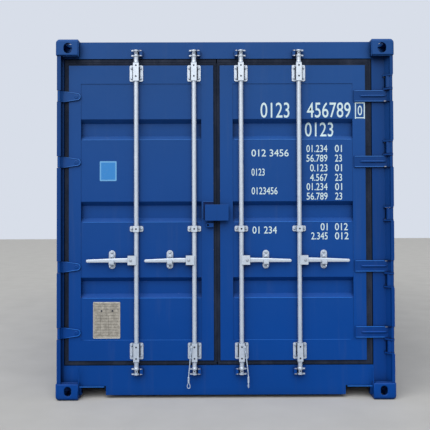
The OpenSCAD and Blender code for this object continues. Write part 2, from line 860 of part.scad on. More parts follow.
module right_door_gasket() color(rubber) at_door_end() gasket(
    right_leaf_x0, right_leaf_x1, (split_gap - split_clear) / 2, seal_right - seal_clear,
    seal_bottom - seal_clear, seal_top - seal_clear
);

// A point inside a hinge barrel, where the web to its strap starts
function in_barrel(angle) = barrel_core / 2 * [cos(angle), sin(angle)];

// A barrel with its pin at the origin and a strap from it, bent back to v1 and along to +x
module hinge_strap(reach, h, v1) difference() {
    v0 = v1 - strap_t;
    translate([0, 0, -h / 2]) linear_extrude(h) {
        circle(d = barrel_d);
        polygon([
            [0, v1 - strap_bevel], [strap_bevel, v1], [reach, v1], [reach, v0],
            [strap_bend_x, v0], in_barrel(10), in_barrel(150)
        ]);
    }
    translate([0, 0, -h / 2 - 1]) cylinder(d = pin_d + 2 * pin_play, h = h + 2);
}

// A right end door strap, or a side door strap, with a rib along it that narrows to its front
module long_strap(reach, h, v1) {
    seat = v1 - strap_t + e;
    front = v1 - strap_t - strap_rib_d;
    slope = strap_rib_slope;
    x0 = strap_rib_start;
    x1 = reach - strap_rib_end;
    rib = strap_rib_h / 2;
    hinge_strap(reach, h, v1);
    polyhedron(
        points = [
            [x0, seat, -rib], [x1, seat, -rib], [x1, seat, rib], [x0, seat, rib],
            [x0 + slope, front, slope - rib], [x1 - slope, front, slope - rib],
            [x1 - slope, front, rib - slope], [x0 + slope, front, rib - slope]
        ],
        faces = [
            [0, 1, 2, 3], [7, 6, 5, 4], [4, 5, 1, 0],
            [5, 6, 2, 1], [6, 7, 3, 2], [7, 4, 0, 3]
        ]
    );
}

// A left end door strap: a plate that tapers to a round end
module short_strap(reach, h, end_h) {
    r = end_h / 2;
    root = strap_bend_x + strap_t;
    hinge_strap(root + 1, h, strap_v1);
    translate([0, strap_v1, 0]) rotate([90, 0, 0]) linear_extrude(strap_t) {
        polygon([[root, -h / 2], [root, h / 2], [reach - r, r], [reach - r, -r]]);
        translate([reach - r, 0]) circle(r);
    }
}

module left_door_hinges() color(paint) at_door_end()
    for (z = hinge_zs) translate([-pin_x, pin_recess, z])
        short_strap(pin_x + left_leaf_x0 + stile_w, left_strap_h, left_strap_end_h);

module right_door_hinges() color(paint) at_door_end()
    for (z = hinge_zs) translate([pin_x, pin_recess, z])
        mirror([1, 0, 0])
            long_strap(pin_x - right_leaf_x1 + right_stile_w - strap_margin, right_strap_h, strap_v1);

module left_hinge_pins() color(zinc) at_door_end()
    for (z = hinge_zs) {
        l = left_strap_h + 2 * barrel_gap;
        translate([-pin_x, pin_recess, z - l / 2]) cylinder(d = pin_d, h = l);
    }

// A lug plate on the right post's corner, its underside at z, alike towards end and side
module lug_plate(z) {
    foot_x = right_rail_out - lug_foot;
    to_end = [
        [foot_x, frame_recess], [foot_x, frame_recess - post_t], [pin_x - pin_d, lug_recess]
    ];
    to_side = [for (p = reversed(to_end)) [half_w - p.y, half_w - p.x]];
    translate([0, 0, z]) linear_extrude(lug_t) polygon(concat(
        to_end, [[half_w - lug_recess, lug_recess]], to_side, [[right_rail_out, frame_recess]]
    ));
}

// Lugs and pins that the end door and the side door share
module hinge_lugs() {
    half = right_strap_h / 2 + barrel_gap;
    for (i = [0 : 3]) {
        zs = hinge_zs[i] + side_steps[i] * side_hinge_step;
        zm = (hinge_zs[i] + zs) / 2;
        n = shared_notch(i);
        lug_plate(zm - lug_t / 2);
        lug_plate(side_steps[i] < 0 ? n[0] : n[1] - lug_t);
        translate([pin_x, pin_recess, n[0]]) cylinder(d = pin_d, h = n[1] - n[0]);
    }
    lug_plate(mid_notch[0]);
    lug_plate(mid_notch[1] - lug_t);
    translate([pin_x, pin_recess, side_hinge_mid_z - half]) cylinder(d = pin_d, h = 2 * half);
}

module right_hinge_lugs() color(paint_dark) {
    at_door_end() hinge_lugs();
    mirror([0, 1, 0]) at_door_end() hinge_lugs();
}

// A bearing on a leaf: a base plate and a block, bored for the bar; up is 1, 0 or -1
module bearing(plate_h, up) {
    block_h = plate_h + (up == 0 ? guide_extra : block_extra);
    front = -bar_d / 2 - bar_play - block_wall;
    seat = gear_back + (up == 0 ? panel_recess : 0);
    drop = [block_h - plate_h, (block_h - plate_h) / 2, 0][up + 1];
    difference() {
        union() {
            translate([0, seat - bearing_t, 0])
                round_plate(bearing_w, plate_h, bearing_t, bearing_r);
            translate([-block_w / 2, front, -plate_h / 2 - drop])
                cube([block_w, seat - front, block_h]);
        }
        translate([0, 0, -plate_h]) cylinder(d = bar_d + 2 * bar_play, h = 3 * plate_h);
    }
}

module bearings_at(x) translate([x, bar_recess, 0]) {
    translate([0, 0, upper_bearing_z]) bearing(bearing_h, 1);
    translate([0, 0, guide_z]) bearing(guide_h, 0);
    translate([0, 0, lower_bearing_z]) bearing(bearing_h, -1);
}

// The eye that a tie rope hangs from, on the front of an inner bar's lower block
module rope_eye(route) translate(route[0] + eye_offset) cube(eye_size, center = true);

module left_bar_bearings() color(zinc) at_door_end() {
    for (x = bars_left) bearings_at(x);
    rope_eye(left_rope_route);
}

module right_bar_bearings() color(zinc) at_door_end() {
    for (x = bars_right) bearings_at(x);
    rope_eye(right_rope_route);
}

// A cam flange with a beak towards side s
module cam_flange(s) linear_extrude(cam_flange_t) {
    tip_x = beak_reach - beak_tip_d / 2;
    circle(d = cam_flange_d);
    polygon([
        [0, -cam_core_d / 2], [0, cam_core_d / 2],
        [s * tip_x, beak_tip_d / 2], [s * tip_x, -beak_tip_d / 2]
    ]);
    translate([s * tip_x, 0]) circle(d = beak_tip_d);
}

// The fork that carries a handle, towards side s, with the handle's rivet
module hub(s) translate([0, 0, handle_z]) {
    front = -handle_offset - handle_t / 2 - hub_play - hub_t;
    back = -handle_offset + handle_t / 2 + hub_play;
    web = rivet_reach - handle_root_h / 2 - hub_web_gap;
    mirror([s < 0 ? 1 : 0, 0, 0]) {
        translate([0, front, -hub_h / 2]) cube([hub_l, hub_t, hub_h]);
        translate([0, back, -hub_h / 2]) cube([hub_l, hub_t, hub_h]);
        translate([0, front, -hub_h / 2]) cube([web, back + hub_t - front, hub_h]);
        translate([rivet_reach, front - rivet_head, 0]) rotate([-90, 0, 0])
            cylinder(d = rivet_d, h = back + hub_t - front + rivet_head);
    }
}

// A lock bar with a cam at each end and the hub of its handle
module lock_bar(x, s) translate([x, bar_recess, 0]) {
    bar_z0 = lower_cam_z + cam_gap / 2;
    bar_z1 = upper_cam_z - cam_gap / 2;
    translate([0, 0, bar_z0]) cylinder(d = bar_d, h = bar_z1 - bar_z0);
    for (z = [lower_cam_z, upper_cam_z]) {
        translate([0, 0, z - cam_half]) cylinder(d = cam_core_d, h = 2 * cam_half);
        translate([0, 0, z - cam_half]) cam_flange(s);
        translate([0, 0, z + cam_gap / 2]) cam_flange(s);
    }
    hub(s);
}

// A handle on the rivet of its hub, towards side s
module handle(x, s) translate([x, bar_recess - handle_offset, handle_z])
    mirror([s < 0 ? 1 : 0, 0, 0]) rotate([90, 0, 0]) translate([0, 0, -handle_t / 2]) {
        tip = handle_reach - handle_tip_h / 2;
        difference() {
            union() {
                translate([rivet_reach, 0, 0])
                    cylinder(d = handle_root_h + handle_boss, h = handle_t);
                linear_extrude(handle_t) polygon([
                    [rivet_reach, -handle_root_h / 2], [rivet_reach, handle_root_h / 2],
                    [tip, handle_tip_h / 2 - inset], [tip, inset - handle_tip_h / 2]
                ]);
                translate([tip, 0, 0]) cylinder(d = handle_tip_h, h = handle_t);
            }
            translate([rivet_reach, 0, -1])
                cylinder(d = rivet_d + 2 * pin_play, h = handle_t + 2);
        }
    }

// A catch on the leaf: a plate behind the handle and a rest below it
module catch(x, s) translate([x + s * catch_reach, bar_recess, handle_z]) {
    rest_z = -handle_root_h / 2 - rest_clear - rest_t;
    rest_y = -handle_offset - handle_t / 2;
    seat = gear_back + panel_recess;
    translate([0, seat - bearing_t, catch_rise])
        round_plate(catch_w, catch_h, bearing_t, catch_r);
    translate([-rest_w / 2, rest_y, rest_z]) cube([rest_w, seat - bearing_t - rest_y + 1, rest_t]);
}

module left_handle_catches() color(zinc) at_door_end() for (x = bars_left) catch(x, -1);

module right_handle_catches() color(zinc) at_door_end() for (x = bars_right) catch(x, 1);

module left_outer_lock_bar() color(zinc) at_door_end() lock_bar(bars_left[0], -1);

module left_inner_lock_bar() color(zinc) at_door_end() lock_bar(bars_left[1], -1);

module right_inner_lock_bar() color(zinc) at_door_end() lock_bar(bars_right[0], 1);

module right_outer_lock_bar() color(zinc) at_door_end() lock_bar(bars_right[1], 1);

module left_outer_handle() color(zinc) at_door_end() handle(bars_left[0], -1);

module left_inner_handle() color(zinc) at_door_end() handle(bars_left[1], -1);

module right_inner_handle() color(zinc) at_door_end() handle(bars_right[0], 1);

module right_outer_handle() color(zinc) at_door_end() handle(bars_right[1], 1);

// A keeper: a nose behind the cam's core and a cheek beside the flanges, away from side s
module keeper(x, s, z) translate([x, 0, z]) mirror([s > 0 ? 1 : 0, 0, 0]) {
    nose_h = cam_gap - 2 * keeper_clear;
    nose_y = bar_recess + cam_core_d / 2 + keeper_clear;
    cheek_x = cam_flange_d / 2 + keeper_clear;
    translate([-beak_reach, nose_y, -nose_h / 2])
        cube([beak_reach + cheek_x + 1, frame_recess - nose_y, nose_h]);
    translate([cheek_x, bar_recess - cheek_lead, -cam_half])
        cube([keeper_cheek_w, frame_recess - bar_recess + cheek_lead, 2 * cam_half]);
}

module keepers_at(x, s) {
    keeper(x, s, upper_cam_z);
    keeper(x, s, lower_cam_z);
}

module bar_keepers() color(paint_dark) at_door_end() {
    for (x = bars_left) keepers_at(x, -1);
    for (x = bars_right) keepers_at(x, 1);
}

// One half of the overlap plate and its stay, from x0 to x1
module centre_plate(x0, x1, stay_x) {
    stay_y = centre_plate_recess + centre_plate_t - e;
    translate([x0, centre_plate_recess, centre_plate_z - centre_plate_h / 2])
        cube([x1 - x0, centre_plate_t, centre_plate_h]);
    translate([stay_x, stay_y, centre_plate_z - stay_h / 2])
        cube([stay_w, leaf_recess - stay_y, stay_h]);
}

// The left half, with a second plate behind it and an eye for a padlock below
module left_centre_plate() color(paint) at_door_end() {
    x0 = door_split_x - centre_plate_w / 2;
    back_x0 = x0 - back_plate_out;
    back_z1 = centre_plate_z + centre_plate_h / 2 + back_plate_up;
    eye_r = lock_eye_h / 2;
    centre_plate(x0, door_split_x - plate_clear / 2, left_leaf_x1 - stay_w);
    translate([back_x0, leaf_recess - back_plate_gap, back_z1 - back_plate_h])
        cube([left_leaf_x1 - back_x0, centre_plate_t, back_plate_h]);
    translate([left_leaf_x1 - lock_eye_w, leaf_recess, lock_eye_z]) rotate([90, 0, 0])
        linear_extrude(lock_eye_t) difference() {
            union() {
                circle(eye_r);
                translate([0, -eye_r]) square([lock_eye_w, lock_eye_h]);
            }
            circle(eye_r - lock_eye_rim);
        }
}

module right_centre_plate() color(paint) at_door_end() centre_plate(
    door_split_x + plate_clear / 2, door_split_x + centre_plate_w / 2, right_leaf_x0
);

module data_plate() color(plate_grey) at_door_end()
    translate([bars_left[0] - data_plate_offset, 0, data_plate_z])
        translate([0, leaf_recess + panel_recess - data_plate_t, 0])
            round_plate(data_plate_w, data_plate_h, data_plate_t, data_plate_r);

// Direction of a route at point i, and the turned circle of the tube there
function unit(v) = v / norm(v);
function along(route, i) =
    unit(route[min(i + 1, len(route) - 1)] - route[max(i - 1, 0)]);
function ring(centre, dir, r, n) =
    let (a = unit(cross(dir, [0, 1, 0])), b = cross(dir, a))
    [for (k = [0 : n - 1]) centre + r * (cos(360 * k / n) * a + sin(360 * k / n) * b)];

// A round tube along a route
module tube(route, d, n = 8) {
    count = len(route);
    polyhedron(
        points = [for (i = [0 : count - 1]) each ring(route[i], along(route, i), d / 2, n)],
        faces = concat(
            [[for (k = [n - 1 : -1 : 0]) k]],
            [for (i = [0 : count - 2]) for (k = [0 : n - 1]) [
                i * n + k, i * n + (k + 1) % n,
                (i + 1) * n + (k + 1) % n, (i + 1) * n + k
            ]],
            [[for (k = [0 : n - 1]) (count - 1) * n + k]]
        )
    );
}

module left_tie_rope() color(rope_white) at_door_end() tube(left_rope_route, rope_d);

module right_tie_rope() color(rope_white) at_door_end() tube(right_rope_route, rope_d);

// A sleeve at the lower end of a rope and the wire loop below it, turned by an angle
module rope_loop(top, turn) translate(top) rotate([0, 0, turn]) {
    translate([0, 0, -ferrule_l]) cylinder(d = ferrule_d, h = ferrule_l);
    translate([0, 0, -ferrule_l - loop_h / 2 + loop_seat]) rotate([90, 0, 0])
        translate([0, 0, -loop_wire / 2]) linear_extrude(loop_wire) difference() {
            slot_shape(loop_h, loop_w);
            slot_shape(loop_h - 2 * loop_wire, loop_w - 2 * loop_wire);
        }
}

module left_rope_loop() color(rope_white) at_door_end()
    rope_loop(left_rope_route[len(left_rope_route) - 1], 0);

module right_rope_loop() color(rope_white) at_door_end()
    rope_loop(right_rope_route[len(right_rope_route) - 1], right_loop_turn);

// Folding side doors: four leaves, fixed in their closed place
module side_leaf(i) color(paint) at_right_side()
    translate([side_leaf_ys[i], 0, leaf_z0]) door_leaf(side_leaf_w, leaf_z1 - leaf_z0, stile_w);

// Upright and level seal strips in the gaps around the side leaves
module side_gaskets() color(rubber) at_right_side() translate([0, leaf_recess + seal_recess, 0]) {
    uprights = [
        [side_open0, side_leaf_1_y], [side_leaf_1_y + side_leaf_w, side_leaf_2_y],
        [side_leaf_2_y + side_leaf_w, side_leaf_3_y],
        [side_leaf_3_y + side_leaf_w, side_leaf_4_y], [side_leaf_4_y + side_leaf_w, side_open1]
    ];
    for (u = uprights) translate([u[0], 0, leaf_z0]) cube([u[1] - u[0], seal_t, leaf_z1 - leaf_z0]);
    translate([side_open0, 0, leaf_z1]) cube([side_open1 - side_open0, seal_t, seal_top]);
    translate([side_open0, 0, sill_z1]) cube([side_open1 - side_open0, seal_t, seal_bottom]);
}

// Straps of the side doors on the pins of one right post
module side_straps() {
    for (z = side_hinge_zs)
        translate([pin_x, -half_l + pin_recess, z]) rotate([0, 0, 90])
            long_strap(side_strap_reach, right_strap_h, leaf_recess - pin_inset);
}

// A hinge between two side leaves that fold on each other, its middle at the origin
module fold_hinge() translate([0, leaf_recess, -fold_hinge_h / 2]) {
    translate([0, -fold_knuckle_d / 2, 0]) cylinder(d = fold_knuckle_d, h = fold_hinge_h);
    translate([-fold_hinge_w / 2, -fold_hinge_t, 0])
        cube([fold_hinge_w, fold_hinge_t, fold_hinge_h]);
}

module side_door_hinges() color(paint) {
    for (my = [0, 1]) mirror([0, my, 0]) {
        side_straps();
        for (z = side_hinge_zs)
            at_right_side() translate([side_leaf_1_y + side_leaf_w + fold_gap / 2, 0, z])
                fold_hinge();
    }
}

module side_bar_bearings() color(zinc) at_right_side()
    for (i = [0 : 3]) {
        bearings_at(side_bar_y(i));
        catch(side_bar_y(i), side_bar_sides[i]);
    }

module side_lock_bars() color(zinc) at_right_side()
    for (i = [0 : 3]) {
        lock_bar(side_bar_y(i), side_bar_sides[i]);
        handle(side_bar_y(i), side_bar_sides[i]);
    }

module side_keepers() color(paint_dark) at_right_side()
    for (i = [0 : 3]) keepers_at(side_bar_y(i), side_bar_sides[i]);

bottom_castings();
top_castings();
left_rear_post();
right_rear_post();
left_front_post();
right_front_post();
door_header();
door_sill();
front_top_rail();
front_bottom_rail();
left_top_rail();
right_top_rail();
left_bottom_rail();
right_bottom_rail();
cross_members();
floor_boards();
roof_panel();
left_side_wall();
front_wall();
left_hinge_pins();
right_hinge_lugs();
bar_keepers();
left_door_leaf();
right_door_leaf();
left_door_gasket();
right_door_gasket();
left_door_hinges();
right_door_hinges();
left_bar_bearings();
right_bar_bearings();
left_handle_catches();
right_handle_catches();
left_centre_plate();
right_centre_plate();
data_plate();
left_outer_lock_bar();
left_inner_lock_bar();
right_inner_lock_bar();
right_outer_lock_bar();
left_outer_handle();
left_inner_handle();
right_inner_handle();
right_outer_handle();
left_tie_rope();
right_tie_rope();
left_rope_loop();
right_rope_loop();
side_leaf(0);  // side_leaf_1
side_leaf(1);  // side_leaf_2
side_leaf(2);  // side_leaf_3
side_leaf(3);  // side_leaf_4
side_gaskets();
side_door_hinges();
side_bar_bearings();
side_lock_bars();
side_keepers();
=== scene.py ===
import json

import bmesh
import bpy
import numpy as np
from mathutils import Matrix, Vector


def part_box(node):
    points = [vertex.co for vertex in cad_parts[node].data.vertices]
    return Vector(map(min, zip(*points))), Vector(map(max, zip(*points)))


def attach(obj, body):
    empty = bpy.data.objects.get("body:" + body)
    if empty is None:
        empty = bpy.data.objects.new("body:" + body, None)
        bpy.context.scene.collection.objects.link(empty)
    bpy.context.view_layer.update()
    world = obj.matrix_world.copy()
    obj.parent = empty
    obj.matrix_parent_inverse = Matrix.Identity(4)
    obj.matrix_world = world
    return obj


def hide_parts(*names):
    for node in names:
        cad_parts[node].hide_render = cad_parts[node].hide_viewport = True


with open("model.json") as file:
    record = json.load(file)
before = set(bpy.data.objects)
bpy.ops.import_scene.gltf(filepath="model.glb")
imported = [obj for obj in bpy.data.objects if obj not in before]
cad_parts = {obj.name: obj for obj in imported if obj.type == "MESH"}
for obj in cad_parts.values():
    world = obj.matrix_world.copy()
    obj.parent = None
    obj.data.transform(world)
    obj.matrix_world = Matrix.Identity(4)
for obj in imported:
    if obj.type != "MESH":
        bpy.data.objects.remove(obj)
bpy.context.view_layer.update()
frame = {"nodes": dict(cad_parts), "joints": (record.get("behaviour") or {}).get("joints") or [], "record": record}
nodes = frame["nodes"]
print("frame loaded,", len(nodes), "nodes")

# All places are in metres. The door end faces -Y, and a recess is a depth behind the castings'
# outer face at that end.
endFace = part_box("top_castings")[0].y
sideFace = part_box("top_castings")[1].x
right, up, toEnd = np.eye(3)[0], np.eye(3)[2], -np.eye(3)[1]


def placed(name, data):
    made = bpy.data.objects.new(name, data)
    bpy.context.scene.collection.objects.link(made)
    return made


# Camera, found from the four outer corners of the door end in the photograph
camera = {
    "place": (-0.075, endFace - 4.6, 1.365),
    "turnDegrees": (90.951, 0.176, -0.186),
    "photoPixels": 430,
    "focalPixels": 642.4,
    "middlePixels": (217.1, 198.35),
    "sensor": 36.0,
}


def makeCamera(c):
    data = bpy.data.cameras.new("photoCamera")
    data.sensor_width = c["sensor"]
    data.lens = c["focalPixels"] / c["photoPixels"] * c["sensor"]
    data.shift_x = 0.5 - c["middlePixels"][0] / c["photoPixels"]
    data.shift_y = c["middlePixels"][1] / c["photoPixels"] - 0.5
    view = placed("photoCamera", data)
    view.location = c["place"]
    view.rotation_euler = np.radians(c["turnDegrees"])
    bpy.context.scene.camera = view


makeCamera(camera)
print("camera placed")


# Shapes. A part is (points, quads, caps): two arrays and a list of closing faces as index arrays.

def outward(points, quads, caps):
    # The volume under all faces is the sum of a . (b x c) / 6 over their triangles; if it is
    # negative the faces look inwards, and each is turned round.
    triangles = [quads[:, [0, 1, 2]], quads[:, [0, 2, 3]]]
    for cap in caps:
        triangles.append(np.stack([np.full(len(cap) - 2, cap[0]), cap[1:-1], cap[2:]], -1))
    a, b, c = np.moveaxis(points[np.concatenate(triangles)] - points.mean(0), 1, 0)
    if (a * np.cross(b, c)).sum() < 0:
        quads, caps = quads[:, ::-1], [cap[::-1] for cap in caps]
    return points, quads, caps


def skin(grid, wrap=False):
    # Quads between neighbours of a grid whose columns close into rings. The first and last ring
    # are capped, or with wrap they are joined to each other.
    rows, cols = grid.shape[:2]
    i, j = np.meshgrid(np.arange(rows if wrap else rows - 1), np.arange(cols), indexing="ij")
    k, n = (j + 1) % cols, (i + 1) % rows
    quads = np.stack([i * cols + j, i * cols + k, n * cols + k, n * cols + j], -1).reshape(-1, 4)
    ends = [] if wrap else [np.arange(cols)[::-1], (rows - 1) * cols + np.arange(cols)]
    return outward(grid.reshape(-1, 3), quads, ends)


def atEnd(x, recess, z):
    return np.array([x, endFace + recess, z])


def around(count):
    return np.linspace(0, 2 * np.pi, count, endpoint=False)


def laid(flat, middle, lift=0.0, along=up):
    # Flat points on a surface: along X, along the given direction, and lifted out of the surface
    return middle + flat[:, :1] * right + flat[:, 1:] * along + lift * np.cross(right, along)


def roundedRectangle(width, height, corner, steps=4):
    # Each corner is a quarter circle about its own centre; the corners are passed counterclockwise.
    turn = np.linspace(0, np.pi / 2, steps + 1)
    angles = (np.arange(4)[:, None] * np.pi / 2 + turn).ravel()
    signs = np.array([(1, 1), (-1, 1), (-1, -1), (1, -1)]).repeat(steps + 1, 0)
    middles = signs * (np.array([width, height]) / 2 - corner)
    return middles + corner * np.stack([np.cos(angles), np.sin(angles)], -1)


def pad(middle, width, height, corner, levels, steps=4):
    # A rounded rectangle is stacked in levels of (inset from its outline, lift above the middle).
    rings = []
    for inset, lift in levels:
        size = width - 2 * inset, height - 2 * inset, max(corner - inset, 1e-4)
        rings.append(laid(roundedRectangle(*size, steps), middle, lift))
    return skin(np.array(rings))


def slab(thickness):
    return [(0.0, 0.0), (0.0, thickness)]


def prism(middle, outline, levels, along=up):
    # An outline is stacked in levels of (inset, lift): each corner moves in along the sum of its two
    # edge normals, so that both edges move by the inset.
    flat = np.asarray(outline, float)
    edges = flat - np.roll(flat, 1, 0), np.roll(flat, -1, 0) - flat
    n1, n2 = (np.stack([-e[:, 1], e[:, 0]], -1) / np.linalg.norm(e, axis=1)[:, None] for e in edges)
    inward = (n1 + n2) / (1 + (n1 * n2).sum(1))[:, None]
    return skin(np.array([laid(flat + inset * inward, middle, lift, along) for inset, lift in levels]))


def turned(middle, axis, profile, sides=16):
    # A profile of (radius, height) goes round an upright axis, or one out of the end.
    a = np.cross(axis, right if axis[2] else up)
    angle = around(sides)[:, None]
    circle = np.cos(angle) * a + np.sin(angle) * np.cross(axis, a)
    radius, height = np.array(profile, float).T[:, :, None, None]
    return skin(middle + radius * circle + height * axis)


def smoothPath(points, count):
    # A Catmull-Rom curve: between two points it is the cubic that has their neighbours' slopes.
    p = np.asarray(points, float)
    p = np.concatenate([[2 * p[0] - p[1]], p, [2 * p[-1] - p[-2]]])
    s = np.linspace(0, len(p) - 3, count)
    i = np.minimum(s.astype(int), len(p) - 4)
    t = (s - i)[:, None]
    a, b, c, d = p[i], p[i + 1], p[i + 2], p[i + 3]
    square, cube = 2 * a - 5 * b + 4 * c - d, 3 * b - a - 3 * c + d
    return 0.5 * (2 * b + (c - a) * t + square * t**2 + cube * t**3)


def pathFrames(path, wrap):
    # At each point: a side at right angles to the path and to one fixed reference, which lies a
    # little off the axis that the path spreads least along, and the third direction.
    if wrap:
        along = np.roll(path, -1, 0) - np.roll(path, 1, 0)
    else:
        along = np.gradient(path, axis=0)
    along /= np.linalg.norm(along, axis=1)[:, None]
    spread = np.abs(np.linalg.svd(path - path.mean(0))[2][2])
    reference = np.eye(3)[int(spread.argmax())] + np.array([0.013, 0.007, 0.011])
    side = np.cross(along, reference)
    side /= np.linalg.norm(side, axis=1)[:, None]
    return side, np.cross(along, side)


def tube(path, radius, sides=8, wrap=False):
    # Circles along a path, where radius is a number or an array of one for each point, or one for
    # each point and angle.
    side, third = pathFrames(path, wrap)
    rows = len(path) if np.size(radius) > 1 else 1
    radius = np.broadcast_to(np.reshape(radius, (rows, -1)), (len(path), sides))
    angle = around(sides)[None, :, None]
    ring = np.cos(angle) * side[:, None] + np.sin(angle) * third[:, None]
    return skin(path[:, None] + radius[..., None] * ring, wrap)


def rod(path, radius, power=20, sides=8):
    # A tube with rounded ends: its radius falls as the root of 1 - s**power, where s goes from -1 to
    # 1 along the path.
    s = np.linspace(-1, 1, len(path))
    return tube(path, radius * np.sqrt(np.clip(1 - s**power, 0.05, 1)), sides)


def ringPath(x0, x1, z0, z1, recess, corner):
    # A rectangle with round corners, standing in front of the doors
    return laid(roundedRectangle(x1 - x0, z1 - z0, corner), atEnd((x0 + x1) / 2, recess, (z0 + z1) / 2))


def turnedRound(part):
    # The same part at the right side: the end turns to the side, and x becomes y.
    points, quads, caps = part
    x, y, z = points.T
    return np.stack([sideFace - (y - endFace), x, z], -1), quads, caps


def coordinates(mesh):
    co = np.empty(len(mesh.vertices) * 3)
    mesh.vertices.foreach_get("co", co)
    return co.reshape(-1, 3)


def dressed(name, mesh, body, material, slot, smoothDegrees=35):
    mesh.shade_smooth()
    mesh.set_sharp_from_angle(angle=np.radians(smoothDegrees))
    mesh.materials.append(material)
    made = placed(name, mesh)
    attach(made, body)
    return made


def piece(name, parts, *dress):
    starts = np.cumsum([0] + [len(points) for points, _, _ in parts])
    points = np.concatenate([part[0] for part in parts])
    quads = np.concatenate([part[1] + start for part, start in zip(parts, starts)])
    caps = [cap + start for part, start in zip(parts, starts) for cap in part[2]]
    corners = np.concatenate([quads.ravel()] + caps)
    sizes = np.concatenate([np.full(len(quads), 4)] + [[len(cap)] for cap in caps]).astype(int)
    mesh = bpy.data.meshes.new(name)
    mesh.vertices.add(len(points))
    mesh.vertices.foreach_set("co", points.astype(np.float32).ravel())
    mesh.loops.add(len(corners))
    mesh.loops.foreach_set("vertex_index", corners.astype(np.int32))
    mesh.polygons.add(len(sizes))
    mesh.polygons.foreach_set("loop_start", (np.cumsum(sizes) - sizes).astype(np.int32))
    mesh.update(calc_edges=True)
    return dressed(name, mesh, *dress)


# Materials. Each is one dictionary and one function that wires its nodes.

class Wiring:
    def __init__(self, name):
        self.material = bpy.data.materials.new(name)
        self.material.use_nodes = True
        self.tree = self.material.node_tree
        self.shader = self.tree.nodes["Principled BSDF"].inputs
        self.place = self.node("TexCoord").outputs["Object"]

    def node(self, kind, links=None, **settings):
        made = self.tree.nodes.new("ShaderNode" + kind)
        for key, value in settings.items():
            setattr(made, key, value)
        for key, value in (links or {}).items():
            self.into(made.inputs[key], value)
        return made

    def into(self, socket, value):
        if isinstance(value, bpy.types.NodeSocket):
            self.tree.links.new(value, socket)
        else:
            socket.default_value = value

    def stretched(self, scale):
        return self.node("Mapping", {"Vector": self.place, "Scale": scale}).outputs["Vector"]

    def noise(self, scale, detail=3.0, roughness=0.5, place=None):
        links = {"Vector": place or self.place, "Scale": scale, "Detail": detail, "Roughness": roughness}
        return self.node("TexNoise", links).outputs["Fac"]

    def ramp(self, value, low, high, first=0.0, last=1.0):
        links = {"Value": value, "From Min": low, "From Max": high, "To Min": first, "To Max": last}
        return self.node("MapRange", links, clamp=True).outputs["Result"]

    def patch(self, numbers, place=None):
        # A noise's scale, detail and roughness, the two values that it is cut between, and what it
        # becomes at each
        return self.ramp(self.noise(*numbers[:3], place), *numbers[3:])

    def maths(self, operation, a, b):
        return self.node("Math", {0: a, 1: b}, operation=operation).outputs["Value"]

    def mix(self, share, a, b):
        return self.node("Mix", {"Factor": share, "A": a, "B": b}, data_type="RGBA").outputs["Result"]

    def normal(self):
        return self.node("NewGeometry").outputs["Normal"]

    def upright(self, vector):
        return self.node("SeparateXYZ", {"Vector": vector}).outputs["Z"]

    def tight(self, distance, low, high, share):
        # The share of painted shade in a crevice: all of it where little open sky is left
        sky = self.node("AmbientOcclusion", {"Distance": distance}, samples=4).outputs["AO"]
        return self.ramp(sky, low, high, share, 0.0)

    def worn(self, radius, low, high):
        # Where the normal of a rounded edge leaves the face's own normal, the edge is near.
        bevel = self.node("Bevel", {"Radius": radius}, samples=3).outputs["Normal"]
        dot = self.node("VectorMath", {0: bevel, 1: self.normal()}, operation="DOT_PRODUCT")
        return self.ramp(dot.outputs["Value"], high, low)

    def bump(self, height, distance, strength):
        made = self.node("Bump", {"Height": height, "Distance": distance, "Strength": strength})
        self.into(self.shader["Normal"], made.outputs["Normal"])

    def sheen(self, scale, least, most, detail=3.0):
        return self.ramp(self.noise(scale, detail), 0.3, 0.7, least, most)

    def finish(self, color, roughness, metallic=0.0, gloss=0.5):
        for name, value in (("Base Color", color), ("Roughness", roughness), ("Metallic", metallic),
                            ("Specular IOR Level", gloss)):
            self.into(self.shader[name], value)
        return self.material


def rgb(red, green, blue):
    # sRGB from 0 to 255 to linear: below 0.04045 a straight line, above it a power of 2.4.
    c = np.array([red, green, blue]) / 255
    linear = np.where(c <= 0.04045, c / 12.92, ((c + 0.055) / 1.055) ** 2.4)
    return (*linear.tolist(), 1.0)


# Paint: its colour is painted lighter upwards, a painted reflection of the brighter sky, with run marks, dust on
# ledges, painted shade in crevices, worn edges and a few rust spots
paintLook = {
    "low": rgb(2, 70, 154),
    "high": rgb(33, 83, 151),
    "fade": (0.5, 2.3),
    "broad": (0.9, 2.0, 0.5, 0.35, 0.65, -0.06, 0.06),
    "dust": rgb(120, 128, 138),
    "runs": (6.0, 4.0, 0.6, 0.56, 0.78, 0.0, 0.06),
    "runStretch": (3.0, 3.0, 0.16),
    "ledges": (0.3, 0.95, 0.0, 0.12),
    "ledgeNoise": (5.0, 4.0),
    "grime": rgb(4, 14, 40),
    "grimeShare": 0.8,
    "bare": rgb(150, 160, 176),
    "edge": (0.004, 0.85, 0.99),
    "flecks": (55.0, 5.0, 0.7, 0.60, 0.70),
    "rust": rgb(96, 54, 34),
    "spots": (38.0, 6.0, 0.75, 0.70, 0.735),
    "spotAreas": (2.1, 2.0, 0.5, 0.52, 0.62),
    "roughness": (14.0, 0.40, 0.52, 4.0),
    "fineBump": (320.0, 2.0),
    "broadBump": (7.0, 2.0),
    "gloss": 0.16,
}
paintTints = {
    # the posts' tint: a darker copy, painted shade for the posts and hinges, which stand in shadow
    "postPaint": {"low": rgb(2, 62, 140), "high": rgb(22, 70, 134), "bare": rgb(84, 116, 166),
                  "grimeShare": 0.95},
    # the rims' tint: a lighter copy, painted highlight on rims, lips and press lines, with worn flecks
    "wornPaint": {"low": rgb(28, 110, 206), "high": rgb(68, 124, 200), "bare": rgb(112, 156, 214),
                  "grimeShare": 0.3},
    # the shaded tint: darker still, painted shadow and shade
    "shadedPaint": {"low": rgb(0, 30, 84), "high": rgb(10, 38, 90), "grimeShare": 0.9},
}


